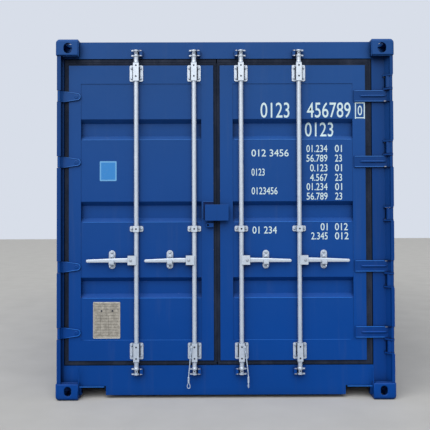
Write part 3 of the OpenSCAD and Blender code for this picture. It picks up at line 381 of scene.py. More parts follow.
def paintMaterial(name, p):
    w = Wiring(name)
    # painted light: the colour goes from the low one to the high one between these heights, as the sky lights the
    # upper paint more
    color = w.mix(w.ramp(w.upright(w.place), *p["fade"]), p["low"], p["high"])
    value = w.maths("ADD", w.patch(p["broad"]), 1.0)
    color = w.node("HueSaturation", {"Color": color, "Value": value}).outputs["Color"]
    runs = w.patch(p["runs"], w.stretched(p["runStretch"]))
    color = w.mix(runs, color, p["dust"])
    ledges = w.maths("MULTIPLY", w.ramp(w.upright(w.normal()), *p["ledges"]), w.noise(*p["ledgeNoise"]))
    color = w.mix(ledges, color, p["dust"])
    # painted shade: the colour darkens in crevices where ambient occlusion finds little open sky
    color = w.mix(w.tight(0.09, 0.10, 0.85, p["grimeShare"]), color, p["grime"])
    edge = w.maths("MULTIPLY", w.worn(*p["edge"]), w.patch(p["flecks"]))
    color = w.mix(w.maths("MULTIPLY", edge, 0.8), color, p["bare"])
    spots = w.maths("MULTIPLY", w.patch(p["spots"]), w.patch(p["spotAreas"]))
    color = w.mix(w.maths("MULTIPLY", spots, 0.6), color, p["rust"])
    rough = w.maths("ADD", w.sheen(*p["roughness"]), w.maths("MULTIPLY", runs, 0.6))
    fine = w.maths("MULTIPLY", w.noise(*p["fineBump"]), 0.06)
    w.bump(w.maths("ADD", fine, w.noise(*p["broadBump"])), 0.004, 0.35)
    return w.finish(color, rough, gloss=p["gloss"])


# Zinc: a faint pattern of crystals and clouds, darker towards the ground, with painted shade in crevices
zincLook = {
    "light": rgb(234, 244, 255),
    "dark": rgb(160, 178, 204),
    "stain": rgb(70, 84, 104),
    "dull": (0.2, 2.0, 0.34, 0.0),
    "crystals": 120.0,
    "crystalShare": 0.10,
    "cloud": (16.0, 5.0, 0.65, 0.38, 0.66, 0.0, 0.14),
}
wornSteelLook = {**zincLook, "light": rgb(214, 220, 228), "dark": rgb(96, 116, 150),
                 "stain": rgb(40, 52, 74)}


def zincMaterial(name, p):
    w = Wiring(name)
    cells = w.node("TexVoronoi", {"Vector": w.place, "Scale": p["crystals"]}, feature="F1")
    crystals = w.node("SeparateColor", {"Color": cells.outputs["Color"]}).outputs["Red"]
    share = w.maths("ADD", w.maths("MULTIPLY", crystals, p["crystalShare"]), w.patch(p["cloud"]))
    share = w.maths("ADD", share, w.ramp(w.upright(w.place), *p["dull"]))
    color = w.mix(share, p["light"], p["dark"])
    # painted shade: the colour darkens in crevices where little open sky is left
    color = w.mix(w.tight(0.03, 0.15, 0.85, 0.85), color, p["stain"])
    w.bump(w.noise(180.0), 0.0008, 0.2)
    return w.finish(color, w.sheen(60.0, 0.38, 0.56), 0.45)


plywoodLook = {"light": rgb(176, 134, 88), "dark": rgb(122, 84, 50), "scuff": rgb(92, 72, 54)}


def plywoodMaterial(name, p):
    # Grain runs along the boards: a noise stretched along Y.
    w = Wiring(name)
    grain = w.noise(9.0, 6.0, 0.65, w.stretched((9.0, 0.35, 9.0)))
    color = w.mix(w.ramp(grain, 0.35, 0.68), p["light"], p["dark"])
    scuffs = w.patch((3.0, 6.0, 0.7, 0.52, 0.72, 0.0, 0.7), w.stretched((1.0, 0.4, 1.0)))
    w.bump(grain, 0.0012, 0.6)
    return w.finish(w.mix(scuffs, color, p["scuff"]), w.sheen(12.0, 0.55, 0.75))


# Plain materials: the base colour turns into the other one in patches, and, as painted shade, in crevices
steelLook = {
    "base": rgb(24, 30, 44),
    "other": rgb(60, 68, 84),
    "patch": (160.0, 4.0, 0.5, 0.4, 0.7),
    "bump": (400.0, 2.0, 0.0004, 0.5),
    "sheen": (90.0, 0.50, 0.68),
    "metallic": 0.25,
}
rubberLook = {
    "base": rgb(18, 30, 50),
    "other": rgb(80, 88, 108),
    "patch": (9.0, 5.0, 0.6, 0.45, 0.8, 0.04, 0.40),
    "stretch": (1.0, 1.0, 0.4),
    "bump": (260.0, 2.0, 0.0006, 0.5),
    "sheen": (30.0, 0.60, 0.78),
    "gloss": 0.2,
}
plateLook = {
    "base": rgb(200, 195, 184),
    "other": rgb(142, 138, 130),
    "patch": (34.0, 6.0, 0.75, 0.36, 0.66),
    "bump": (420.0, 3.0, 0.0003, 0.5),
    "sheen": (50.0, 0.40, 0.55),
    "metallic": 0.35,
}
etchedLook = {**plateLook, "base": rgb(116, 108, 98), "other": rgb(84, 80, 76)}
rimLook = {
    "base": rgb(226, 226, 220),
    "other": rgb(200, 195, 184),
    "patch": (70.0, 4.0, 0.5, 0.4, 0.7),
    "sheen": (50.0, 0.35, 0.50),
    "metallic": 0.5,
}
ropeLook = {
    "base": rgb(214, 230, 248),
    "other": rgb(140, 162, 190),
    "patch": (90.0, 5.0, 0.7, 0.4, 0.72),
    # painted shade between the strands
    "tight": (0.004, 0.3, 0.9, 0.7),
    "bump": (700.0, 2.0, 0.0004, 0.6),
    "sheen": (80.0, 0.50, 0.70),
    "metallic": 0.15,
}
whiteLook = {
    "base": rgb(228, 252, 255),
    "other": rgb(140, 178, 215),
    "patch": (120.0, 6.0, 0.75, 0.60, 0.70, 0.0, 0.7),
    "bump": (300.0, 2.0, 0.0003, 0.4),
    "sheen": (30.0, 0.40, 0.55),
}


def plainMaterial(name, p):
    w = Wiring(name)
    place = w.stretched(p["stretch"]) if "stretch" in p else None
    color = w.mix(w.patch(p["patch"], place), p["base"], p["other"])
    if "tight" in p:
        color = w.mix(w.tight(*p["tight"]), color, p["other"])
    if "bump" in p:
        w.bump(w.noise(*p["bump"][:2]), *p["bump"][2:])
    return w.finish(color, w.sheen(*p["sheen"]), p.get("metallic", 0.0), p.get("gloss", 0.5))


paint = paintMaterial("containerPaint", paintLook)
postPaint, wornPaint, shadedPaint = (paintMaterial(name, {**paintLook, **tint})
                                     for name, tint in paintTints.items())
zinc = zincMaterial("galvanisedSteel", zincLook)
wornSteel = zincMaterial("wornSteel", wornSteelLook)
darkSteel = plainMaterial("darkSteel", steelLook)
rubber = plainMaterial("sealRubber", rubberLook)
plywood = plywoodMaterial("floorPlywood", plywoodLook)
plateMetal = plainMaterial("plateMetal", plateLook)
etched = plainMaterial("etchedRules", etchedLook)
plateRim = plainMaterial("plateRim", rimLook)
rope = plainMaterial("tieRope", ropeLook)
markWhite = plainMaterial("markWhite", whiteLook)
markSticker = plainMaterial("markSticker", {**whiteLook, "base": rgb(50, 144, 222)})
markPale = plainMaterial("markPale", {**whiteLook, "base": rgb(116, 186, 240)})

slotMaterials = {"paint": paint, "galvanised": zinc, "rubber": rubber, "plywood": plywood,
                 "plate": plateMetal, "rope": rope}
# the posts and hinges take the darker tint, painted shade
postShadePainted = ("right_rear_post", "right_hinge_lugs", "left_rear_post", "right_door_hinges",
               "side_door_hinges")
for part in frame["record"]["subparts"]:
    name = part["node"]
    nodes[name].data.materials.clear()
    nodes[name].data.materials.append(postPaint if name in postShadePainted else
                                      slotMaterials[part["material_slot"]])
print("materials wired")


# Tie ropes: short steel cords that hang from the inner bars' lower bearings, with a sleeve and a
# loop at their lower end
tieRope = {
    "diameter": 0.008,
    "strands": 6,
    "strandDepth": 0.0007,
    "layLength": 0.034,
    # in millimetres, at the points of the CAD routes: the heights, and each side's x and recesses
    "heights": (372, 362, 350, 338, 325, 312, 300, 287, 275, 262, 250, 237, 225, 208, 187, 165),
    "left": ((-246, -247, -248, -250, -251, -253, -254, -256, -257, -258, -259, -260, -261, -263,
              -265, -267), (8, 8, 8, 7, 7, 7, 7, 7, 7, 7, 7, 8, 8, 8, 9, 9)),
    "right": ((136, 137, 139, 141, 143, 145, 146, 148, 149, 151, 152, 154, 155, 157, 159, 161),
              (8, 8, 8, 8, 9, 9, 10, 10, 11, 11, 12, 12, 13, 14, 15, 16)),
    "sleeve": [(0.0045, 0.0), (0.0068, -0.002), (0.0068, -0.013), (0.0060, -0.016),
               (0.0068, -0.019), (0.0068, -0.030), (0.0060, -0.033), (0.0068, -0.036),
               (0.0062, -0.043), (0.004, -0.044)],
    "loopDrop": 0.040,
    "loopWidth": 0.031,
    "loopHeight": 0.047,
    "loopSeat": 0.002,
    "wire": 0.0025,
    "turnDegrees": {"left": 0, "right": 70},
}


def ropePath(r, side):
    x, recess = r[side]
    route = np.stack([x, recess, r["heights"]], -1) / 1000
    return smoothPath([atEnd(*point) for point in route], 120)


def runAlong(path):
    return np.concatenate([[0], np.cumsum(np.linalg.norm(np.diff(path, axis=0), axis=1))])


def strandedTube(path, r, sides=36):
    # The radius falls between the strands: by the depth times (1 - |cos|) ** 1.5 of half the strand
    # angle, where the angle turns on by a full circle in each lay length.
    twist = around(sides)[None, :] - 2 * np.pi * runAlong(path)[:, None] / r["layLength"]
    valley = 1 - np.abs(np.cos(0.5 * r["strands"] * twist))
    return tube(path, r["diameter"] / 2 - r["strandDepth"] * valley**1.5, sides)


def loopPath(r, side, foot):
    # A teardrop below the sleeve: two straight legs that meet at the sleeve and a round end.
    turn = np.radians(r["turnDegrees"][side])
    across = np.array([np.cos(turn), np.sin(turn), 0.0])
    t = around(56)
    half = (r["loopWidth"] - 2 * r["wire"]) / 2
    swing = half * np.sin(t) * np.sin(t / 2) ** 1.2 * 1.12
    drop = (r["loopHeight"] - 2 * r["wire"]) * (1 - np.cos(t)) / 2 - r["loopSeat"]
    return foot + swing[:, None] * across - drop[:, None] * up


def makeRope(r, side):
    path = ropePath(r, side)
    body = side + "_door"
    strand = piece(side + "RopeStrand", [strandedTube(path, r)], body, rope, "rope", 80)
    loop = tube(loopPath(r, side, path[-1] - r["loopDrop"] * up), r["wire"], 10, wrap=True)
    end = piece(side + "RopeEnd", [turned(path[-1], up, r["sleeve"], 20), loop], body, rope, "rope")
    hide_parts(side + "_tie_rope")
    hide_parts(side + "_rope_loop")


for side in ("left", "right"):
    makeRope(tieRope, side)
print("tie ropes laid")


# Lock bars: the place of each along its face, the side that its handle points to, and its name
turns = {j["child"]: j for j in frame["joints"] if j["name"].endswith("_bar_turn")}
barSigns = {"left_outer": -1, "left_inner": -1, "right_inner": 1, "right_outer": 1}
doorBars = [(turns[name + "_bar"]["pos_m"][0], sign, name) for name, sign in barSigns.items()]
sideBars = [(-1.95475, -1), (-0.55825, -1), (0.55825, 1), (1.95475, 1)]

# Bolts of the bar bearings: bolts with washers on the wings, dark ones on the block over the bar,
# and a dark strip of painted shade at both sides of the block, where the gap lies in shadow
bearing = {
    # height, rows of wing bolts, and offsets of the dark bolts; a bearing with one row is a guide
    "rows": ((2.350, (-1, 1), (0.053, -0.025)), (1.223, (0,), (0.0,)),
             (0.348, (-1, 1), (0.028, -0.054))),
    "wing": (0.034, 0.037),
    "plateRecess": 0.049,
    "guideRecess": 0.052,
    "blockRecess": 0.0152,
    "washer": [(0.0098, 0.0), (0.0098, 0.0014), (0.0090, 0.0022)],
    "hexagon": [(0.0078, 0.0), (0.0078, 0.0062), (0.0066, 0.0076)],
    "stud": [(0.0042, 0.0), (0.0042, 0.0100), (0.0034, 0.0110)],
    "darkHead": [(0.0064, 0.0), (0.0062, 0.0010), (0.0040, 0.0018), (0.0012, 0.0020)],
    "lineOffset": 0.0244,
    # the line is a strip of painted shade: its width, height and corner
    "line": (0.0084, 0.098, 0.0018),
}


def bearingBolts(p, x):
    light, dark = [], []
    for z, rows, offsets in p["rows"]:
        isGuide = len(rows) == 1
        recess = p["guideRecess"] if isGuide else p["plateRecess"]
        for sx in (-1, 1):
            for sz in rows:
                place = atEnd(x + sx * p["wing"][0], recess, z + sz * p["wing"][1])
                light += [turned(place, toEnd, p[key], sides)
                          for key, sides in (("washer", 20), ("hexagon", 6), ("stud", 12))]
        dark += [turned(atEnd(x, p["blockRecess"], z + dz), toEnd, p["darkHead"]) for dz in offsets]
        if not isGuide:
            # painted shade: a dark strip at each side of the block
            dark += [pad(atEnd(x + sx * p["lineOffset"], recess, z), *p["line"], slab(0.0006))
                     for sx in (-1, 1)]
    return light, dark


# Cam ends: a collar on the bar below or above each cam, a dark set screw, and the pointed worn tips
# of the keepers beside them
cam = {
    "heights": ((2.493, 1), (0.200, -1)),
    "recess": 0.036,
    "collar": [(0.0150, -0.069), (0.0176, -0.066), (0.0176, -0.058), (0.0158, -0.053),
               (0.0152, -0.040), (0.0162, -0.030), (0.0190, -0.0245), (0.0196, -0.0235)],
    "flangeEdge": [(0.0190, 0.0), (0.0213, 0.0008), (0.0213, 0.0022), (0.0190, 0.0030)],
    "edgeHeights": (-0.0200, 0.0170),
    "screw": [(0.0050, 0.0), (0.0048, 0.0016), (0.0030, 0.0030)],
    "screwRecess": 0.0235,
    "lip": [(0.0262, -0.0050), (0.0440, -0.0006), (0.0440, 0.0006), (0.0262, 0.0050)],
    "lipRecess": 0.0280,
    "lipHeights": (-0.0185, 0.0190),
    "lipLevels": [(0.0, -0.0004), (0.0, 0.0022), (0.0004, 0.0030)],
}


def camParts(p, x, sign):
    light, dark, tips = [], [], []
    # a mirrored outline is passed the other way, so that it stays counterclockwise
    outline = (np.array(p["lip"]) * (-sign, 1))[::-sign]
    for z, way in p["heights"]:
        middle = atEnd(x, p["recess"], z)
        light.append(turned(middle, way * up, p["collar"], 28))
        light += [turned(middle + rise * way * up, way * up, p["flangeEdge"], 32)
                  for rise in p["edgeHeights"]]
        dark.append(turned(atEnd(x, p["screwRecess"], z), toEnd, p["screw"]))
        tips += [prism(atEnd(x, p["lipRecess"], z + way * rise), outline, p["lipLevels"])
                 for rise in p["lipHeights"]]
    return light, dark, tips


# Handles: forged flat bars on their hub's rivet, lower towards the tip
handle = {
    "root": 0.040,
    "bossRadius": 0.0182,
    "tip": 0.360,
    "tipRound": 0.0115,
    "stations": [0.040, 0.080, 0.130, 0.177, 0.240, 0.300, 0.348],
    "halfHeights": [0.0166, 0.0160, 0.0154, 0.0150, 0.0134, 0.0120, 0.0112],
    "drops": [0.0, 0.0, 0.0005, 0.0012, 0.0024, 0.0036, 0.0046],
    "recess": 0.0235,
    "halfDepth": 0.0055,
    "height": 0.998,
    "square": 0.55,
    "sides": 24,
    "rivet": [(0.0090, 0.0), (0.0088, 0.0012), (0.0072, 0.0022), (0.0050, 0.0024), (0.0044, 0.0016),
              (0.0020, 0.0014)],
    "rivetRecess": 0.0081,
    "ring": [(0.0112, 0.0), (0.0112, 0.0009), (0.0100, 0.0014)],
    "ringRecess": 0.0111,
}


def handlePart(p, x, sign):
    # From the boss round the rivet to the tip: circles at both ends, and straight lines through the
    # stations between them. The section is a superellipse: sine and cosine keep their sign and are
    # raised to a power, which squares it off.
    root, boss, tipRound = p["root"], p["bossRadius"], p["tipRound"]
    tipStart = p["tip"] - tipRound
    d = np.concatenate([root - boss * np.cos(np.linspace(0.12, np.pi / 2, 9)),
                        np.linspace(root, tipStart, 60)[1:],
                        tipStart + tipRound * np.sin(np.linspace(0, 1.45, 9))[1:]])
    circle = np.sqrt(np.clip(boss**2 - (root - d) ** 2, 0, None))
    half = np.interp(d, p["stations"], p["halfHeights"])
    half = np.where(d < root, circle, np.maximum(half, np.where(d < root + boss, circle, 0)))
    end = np.clip((d - tipStart) / tipRound, 0, 1)
    half = half * np.sqrt(1 - end**2)
    closing = np.sqrt(1 - np.clip((end - 0.6) / 0.45, 0, 0.95) ** 2)
    depth = p["halfDepth"] * np.where(end > 0.6, closing, 1.0)
    drop = np.interp(d, p["stations"], p["drops"])
    path = np.stack([x + sign * d, np.full_like(d, endFace + p["recess"]), p["height"] - drop], -1)
    angle = around(p["sides"])
    c, s = (np.sign(f) * np.abs(f) ** p["square"] for f in (np.cos(angle), np.sin(angle)))
    return skin(path[:, None] + depth[:, None, None] * c[:, None] * toEnd
                + half[:, None, None] * s[:, None] * up)


# Handle catches: a long plate with round ends, a shelf with a lip that the handle rests in, an eye, a
# hook below the handle and a swinging tongue above it
catch = {
    "reach": 0.177,
    # recess and height, then a pad's width, height, corner, levels and steps
    "pads": (
        (0.058, 1.001, 0.047, 0.134, 0.0232, [(0.0, 0.0), (0.0, 0.0048), (0.0012, 0.0060)], 10),
        (0.053, 0.973, 0.037, 0.007, 0.002, slab(0.041)),
        (0.0165, 0.9875, 0.037, 0.024, 0.003,
         [(0.0010, 0.0), (0.0, 0.0012), (0.0, 0.0050), (0.0012, 0.0062)]),
        (0.052, 1.028, 0.030, 0.026, 0.006, [(0.0, 0.0), (0.0, 0.0140), (0.0022, 0.0170)]),
    ),
    # radius, then offset, recess and height of each point
    "hook": (0.0042, (0.010, 0.033, 0.9690), (0.010, 0.022, 0.9640), (0.010, 0.014, 0.9585),
             (0.009, 0.012, 0.9530), (0.005, 0.016, 0.9490)),
    "tongue": (0.0046, (-0.014, 0.047, 1.0240), (-0.004, 0.0375, 1.0262), (0.004, 0.0370, 1.0250),
               (0.014, 0.047, 1.0240)),
    "boltHeights": (1.0540, 0.9460),
    "washerRecess": 0.052,
    "headRecess": 0.050,
}


def catchParts(p, bolts, x, sign):
    middle = x + sign * p["reach"]
    parts = [pad(atEnd(middle, recess, z), *shape) for recess, z, *shape in p["pads"]]
    for radius, *points in (p["hook"], p["tongue"]):
        path = smoothPath([atEnd(middle + sign * dx, recess, z) for dx, recess, z in points], 24)
        parts.append(rod(path, radius, 16, 12))
    parts += [turned(atEnd(middle, p["washerRecess"], z), toEnd, bolts["washer"], 20)
              for z in p["boltHeights"]]
    heads = [turned(atEnd(middle, p["headRecess"], z), toEnd, bolts["hexagon"], 6)
             for z in p["boltHeights"]]
    return parts, heads


for side in ("left", "right"):
    light, dark, catches = [], [], []
    for x, sign, name in doorBars:
        if name.startswith(side):
            boltLight, boltDark = bearingBolts(bearing, x)
            parts, heads = catchParts(catch, bearing, x, sign)
            light += boltLight + heads
            dark += boltDark
            catches += parts
    piece(side + "BearingBolts", light, side + "_door", zinc, "galvanised")
    piece(side + "DarkBolts", dark, side + "_door", darkSteel, "galvanised")
    made = piece(side + "HandleCatches", catches, side + "_door", zinc, "galvanised")
    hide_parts(side + "_handle_catches")
keeperTips = []
for x, sign, name in doorBars:
    camLight, camDark, camTips = camParts(cam, x, sign)
    keeperTips += camTips
    hub = [turned(atEnd(x + sign * handle["root"], handle[key + "Recess"], handle["height"]), toEnd,
                  handle[key], sides) for key, sides in (("ring", 24), ("rivet", 20))]
    piece(name + "_cam_collars", camLight, name + "_bar", zinc, "galvanised")
    piece(name + "_cam_screws", camDark, name + "_bar", darkSteel, "galvanised")
    piece(name + "_hub_rivet", hub, name + "_bar", wornSteel, "galvanised")
    made = piece(name + "_forged_handle", [handlePart(handle, x, sign)], name + "_lever", zinc,
                 "galvanised")
    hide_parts(name + "_handle")
piece("keeperTips", keeperTips, "root", wornSteel, "galvanised")
sideLight, sideDark = [], []
for y, sign in sideBars:
    boltLight, boltDark = bearingBolts(bearing, y)
    camLight, camDark, _ = camParts(cam, y, sign)
    sideLight += [turnedRound(part) for part in boltLight + camLight]
    sideDark += [turnedRound(part) for part in boltDark + camDark]
piece("sideBearingBolts", sideLight, "root", zinc, "galvanised")
piece("sideDarkBolts", sideDark, "root", darkSteel, "galvanised")
print("lock gear dressed")


# Overlap plate on the door gap: a cover on each door's half, so that each door swings by itself,
# a back plate with a light edge, a painted highlight, with painted shadow of the cover on it, and the rim of the
# padlock eye in the same lighter paint
overlap = {
    "across": (-0.147, 0.023),
    "split": -0.062,
    "gap": 0.0003,
    "heights": (1.281, 1.397),
    "recess": 0.0138,
    "levels": [(0.0, -0.0066), (0.0, 0.0020), (0.0018, 0.0034)],
    "corner": 0.005,
    "backRim": [(-0.0865, 1.4205), (-0.1605, 1.4205), (-0.1625, 1.4185), (-0.1625, 1.2990)],
    "backShade": ((-0.152, 1.3598, 0.019, 0.1205), (-0.1150, 1.4080, 0.0560, 0.0230)),
    "backRecess": 0.0428,
    "backRimRadius": 0.0018,
    "eyeMiddle": (-0.126, 0.055, 1.249),
    "eyeProfile": [(0.0090, 0.0), (0.0090, 0.0052), (0.0104, 0.0062), (0.0146, 0.0062),
                   (0.0150, 0.0052), (0.0150, 0.0)],
}


def overlapHalf(p, side):
    # One rounded plate; the points beyond the slit are moved onto it.
    (x0, x1), (z0, z1) = p["across"], p["heights"]
    middle = atEnd((x0 + x1) / 2, p["recess"], (z0 + z1) / 2)
    points, quads, caps = pad(middle, x1 - x0, z1 - z0, p["corner"], p["levels"])
    if side == "left":
        points[:, 0] = np.minimum(points[:, 0], p["split"] - p["gap"] / 2)
    else:
        points[:, 0] = np.maximum(points[:, 0], p["split"] + p["gap"] / 2)
    return points, quads, caps


def eyeRim(p):
    # A flat ring: a small rounded profile of radii and heights carried round a circle
    angle = around(32)[:, None, None]
    circle = np.cos(angle) * right + np.sin(angle) * up
    radius, lift = np.array(p["eyeProfile"]).T[:, None, :, None]
    return skin(atEnd(*p["eyeMiddle"]) + radius * circle + lift * toEnd, wrap=True)


# Hinge straps: rounded rims in a lighter paint, a painted highlight, a boss at each left strap's tip, a rib along
# each right strap, and a worn spot at each right strap's root
strap = {
    "heights": (0.475, 0.950, 1.706, 2.182),
    "recess": 0.0462,
    "rim": 0.0030,
    "leftRoot": -1.158,
    "leftTip": -1.046,
    "leftHalf": (0.039, 0.026),
    "boss": [(0.0150, 0.0), (0.0148, 0.0026), (0.0124, 0.0038), (0.0066, 0.0038), (0.0060, 0.0026),
             (0.0015, 0.0022)],
    "bossPlace": (-1.078, 0.0472),
    "rib": (1.160, 0.982),
    "ribRecess": 0.0440,
    "ribRise": 0.001,
    "ribRadius": 0.0078,
    "rightLine": (1.150, 1.050, 0.937),
    "rightHalf": 0.0405,
    "wearPlace": (1.161, 0.0464),
    "wearOffset": 0.0368,
    "wear": (0.016, 0.006, 0.002),
    "wearTurns": 1.3,
}


def strapParts(p):
    leftRims, rightRims, ribs, bosses, wear = [], [], [], [], []
    rim, (rootHalf, tipHalf) = p["rim"], p["leftHalf"]
    # the left rim goes round the strap's tip in a half circle
    radius = tipHalf - rim
    tip = [(p["leftTip"] - tipHalf + radius * np.cos(angle), radius * np.sin(angle))
           for angle in np.linspace(np.pi / 2, -np.pi / 2, 13)]
    leftLine = [(p["leftRoot"], rootHalf - rim), *tip, (p["leftRoot"], rim - rootHalf)]
    for z in p["heights"]:
        path = smoothPath([atEnd(x, p["recess"], z + dz) for x, dz in leftLine], 90)
        leftRims.append(rod(path, rim))
        bosses.append(turned(atEnd(*p["bossPlace"], z), toEnd, p["boss"], 24))
        start, end = (atEnd(x, p["ribRecess"], z + p["ribRise"]) for x in p["rib"])
        ribs.append(rod(np.linspace(start, end, 40), p["ribRadius"], 16, 16))
        for side in (-1, 1):
            line = z + side * (p["rightHalf"] - rim)
            path = smoothPath([atEnd(x, p["recess"], line) for x in p["rightLine"]], 60)
            rightRims.append(rod(path, rim))
        # the lower straps are worn at their upper edge
        offset = -p["wearOffset"] if z > p["wearTurns"] else p["wearOffset"]
        wear.append(pad(atEnd(*p["wearPlace"], z + offset), *p["wear"], slab(0.0012)))
    return leftRims, rightRims, ribs, bosses, wear


# Right hinges: thin dark washers close the slits between the knuckles and the lugs, at both ends; their dark
# colour is painted shade, as the slits lie in shadow
hingeWashers = {
    # height of each end strap's middle, and whether its side strap is above it or below it
    "shared": ((0.475, -1), (0.950, -1), (1.706, 1), (2.182, 1)),
    "step": 0.100,
    "single": 1.329,
    "half": 0.0405,
    "slit": 0.003,
    "lugHalf": 0.005,
    "play": 0.0003,
    # place along the end face and recess of a lug's corners
    "plan": ((1.1455, 0.0595), (1.1455, 0.0522), (1.1832, 0.0115), (1.2075, 0.0115), (1.2075, 0.0358),
             (1.1668, 0.0735), (1.1595, 0.0735), (1.1595, 0.0595)),
}


def slitShadeParts(p):
    half, slit, step, lug, play = p["half"], p["slit"], p["step"], p["lugHalf"], p["play"]
    slits = [sorted((p["single"] + way * half, p["single"] + way * (half + slit))) for way in (-1, 1)]
    for z, way in p["shared"]:
        offsets = (-half - slit, -half, half, step / 2 - lug, step / 2 + lug, step - half,
                   step + half, step + half + slit)
        edges = [z + way * offset for offset in offsets]
        slits += [sorted(edges[i:i + 2]) for i in range(0, len(edges), 2)]
    parts = []
    for low, high in slits:
        levels = slab(high - low - 2 * play)
        parts.append(prism(atEnd(0.0, 0.0, low + play), p["plan"], levels, -toEnd))
        parts.append(prism(np.array([0.0, -endFace, high - play]), p["plan"], levels, toEnd))
    return parts


def cornerBlocks(p):
    # the far post has no end door: its notches for end straps are closed by blocks
    inset = 2 * p["play"]
    levels = [(inset, inset), (inset, 2 * p["half"] - inset)]
    return [prism(np.array([0.0, -endFace, z + p["half"]]), p["plan"], levels, toEnd)
            for z, _ in p["shared"]]


# Seals: two round lips that run along each door's rubber frame
lips = {
    "left": (-1.1485, -0.0725),
    "right": (-0.0525, 1.0405),
    "heights": (0.2575, 2.4295),
    "step": 0.0062,
    "radius": 0.0034,
    "recess": 0.0655,
    "corner": 0.016,
}


def sealLips(p, side):
    (x0, x1), (z0, z1) = p[side], p["heights"]
    return [tube(ringPath(x0 + step, x1 - step, z0 + step, z1 - step, p["recess"], p["corner"]),
                 p["radius"], 10, wrap=True) for step in (-p["step"], p["step"])]


# Press lines: the thin rounded edges at the lower lip of each groove and over the bottom member, in a lighter
# paint as a painted highlight
pressLines = {
    "left": (-1.044, -0.175),
    "right": (0.056, 0.924),
    "heights": (0.4195, 0.7215, 1.2705, 1.8685),
    "recess": 0.0592,
    "radius": 0.0026,
}


def pressParts(p, side):
    return [rod(np.linspace(*(atEnd(x, p["recess"], z) for x in p[side]), 30), p["radius"], 30)
            for z in p["heights"]]


# Corner castings: the CAD blocks with rounded outer edges, and a collar in each lower end hole
castingLook = {
    "round": 0.028,
    "roundFront": 0.010,
    "slices": (0.04, 0.14, 0.29, 0.48, 0.73, 1.0),
    "merge": 2e-5,
    "holes": (-1.1295, 1.1295),
    "holeHeight": 0.066,
    # width, height and depth of the collar's four edges
    "collar": ((0.0510, 0.0680, 0.0028), (0.0650, 0.0775, 0.0008), (0.0650, 0.0775, 0.0125),
               (0.0510, 0.0680, 0.0125)),
}


def cut(shape, place, normal):
    everything = shape.verts[:] + shape.edges[:] + shape.faces[:]
    bmesh.ops.bisect_plane(shape, geom=everything, plane_co=place, plane_no=normal, dist=1e-6)


def slicedCopy(p, name, outer):
    # The CAD mesh's loose triangles are merged and its flat faces joined, then it is cut by planes
    # that lie ever further in from its outer faces.
    shape = bmesh.new()
    shape.from_mesh(nodes[name].data)
    bmesh.ops.remove_doubles(shape, verts=shape.verts, dist=p["merge"])
    bmesh.ops.dissolve_limit(shape, angle_limit=np.radians(1), verts=shape.verts, edges=shape.edges)
    radii = p["round"], p["roundFront"]
    planes = [(axis, side * (outer[axis] - radii[axis] * t)) for axis in (0, 1)
              for t in p["slices"] for side in (-1, 1)]
    planes += [(2, abs(outer[2] - radius * t)) for t in p["slices"] for radius in radii]
    for axis, place in planes:
        cut(shape, place * np.eye(3)[axis], np.eye(3)[axis])
    bmesh.ops.triangulate(shape, faces=shape.faces)
    mesh = bpy.data.meshes.new(name + "Rounded")
    shape.to_mesh(mesh)
    shape.free()
    return mesh


def roundedCopy(p, name):
    # Each point has a depth s under an upright face and a depth t under the flat one. Where both are
    # less than the radius R, (R - s, R - t) goes from a square to a circle: it is scaled by its
    # larger part over its length.
    low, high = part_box(name)
    atTop = low.z > 1
    mesh = slicedCopy(p, name, (high.x, high.y, high.z if atTop else 0.0))
    co = coordinates(mesh)
    for axis, radius in enumerate((p["round"], p["roundFront"])):
        sign = np.sign(co[:, axis])
        s = np.clip(radius - (high[axis] - np.abs(co[:, axis])), 0, None)
        t = np.clip(radius - (high.z - co[:, 2] if atTop else co[:, 2]), 0, None)
        lost = np.where((s > 0) & (t > 0), 1 - np.maximum(s, t) / np.maximum(np.hypot(s, t), 1e-9), 0)
        co[:, axis] -= sign * s * lost
        co[:, 2] += (-1 if atTop else 1) * t * lost
    mesh.vertices.foreach_set("co", co.ravel())
    made = dressed(name + "Rounded", mesh, "root", paint, "paint")
    made.modifiers.new("flatFaces", "WEIGHTED_NORMAL").keep_sharp = True
    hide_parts(name)


def holeCollar(p, x):
    # A ring between two stadium outlines, carried round as a small profile
    angle = around(48)
    rings = []
    for width, height, depth in p["collar"]:
        straight = (height - width) / 2 * np.sign(np.sin(angle))
        flat = np.stack([width / 2 * np.cos(angle), width / 2 * np.sin(angle) + straight], -1)
        rings.append(laid(flat, atEnd(x, depth, p["holeHeight"])))
    return skin(np.array(rings).transpose(1, 0, 2), wrap=True)


# Weld seams and lips of the frame: over the bottom castings, under the top ones, on the posts'
# meeting lines and along the notches of the sill
seams = {
    # start, end and radius
    "lines": [
        ((-1.180, 0.024, 0.1215), (-1.060, 0.024, 0.1215), 0.0040),
        ((1.070, 0.014, 0.1215), (1.206, 0.014, 0.1215), 0.0040),
        ((-1.170, 0.014, 2.4705), (-1.062, 0.014, 2.4705), 0.0040),
        ((1.066, 0.010, 2.4705), (1.206, 0.010, 2.4705), 0.0040),
        ((-1.0555, 0.006, 2.4640), (-1.0555, 0.006, 2.5760), 0.0034),
        ((1.0555, 0.006, 2.4640), (1.0555, 0.006, 2.5760), 0.0034),
        ((-1.0555, 0.024, 0.0950), (-1.0555, 0.024, 0.2330), 0.0036),
        ((1.0555, 0.016, 0.0950), (1.0555, 0.016, 0.2330), 0.0036),
    ],
    "ripple": 0.007,
    "rise": 0.16,
    "lips": ((-1.052, -0.872), (0.872, 1.052)),
    "lipPlace": (0.0265, 0.0925),
    "lipRadius": 0.0034,
}


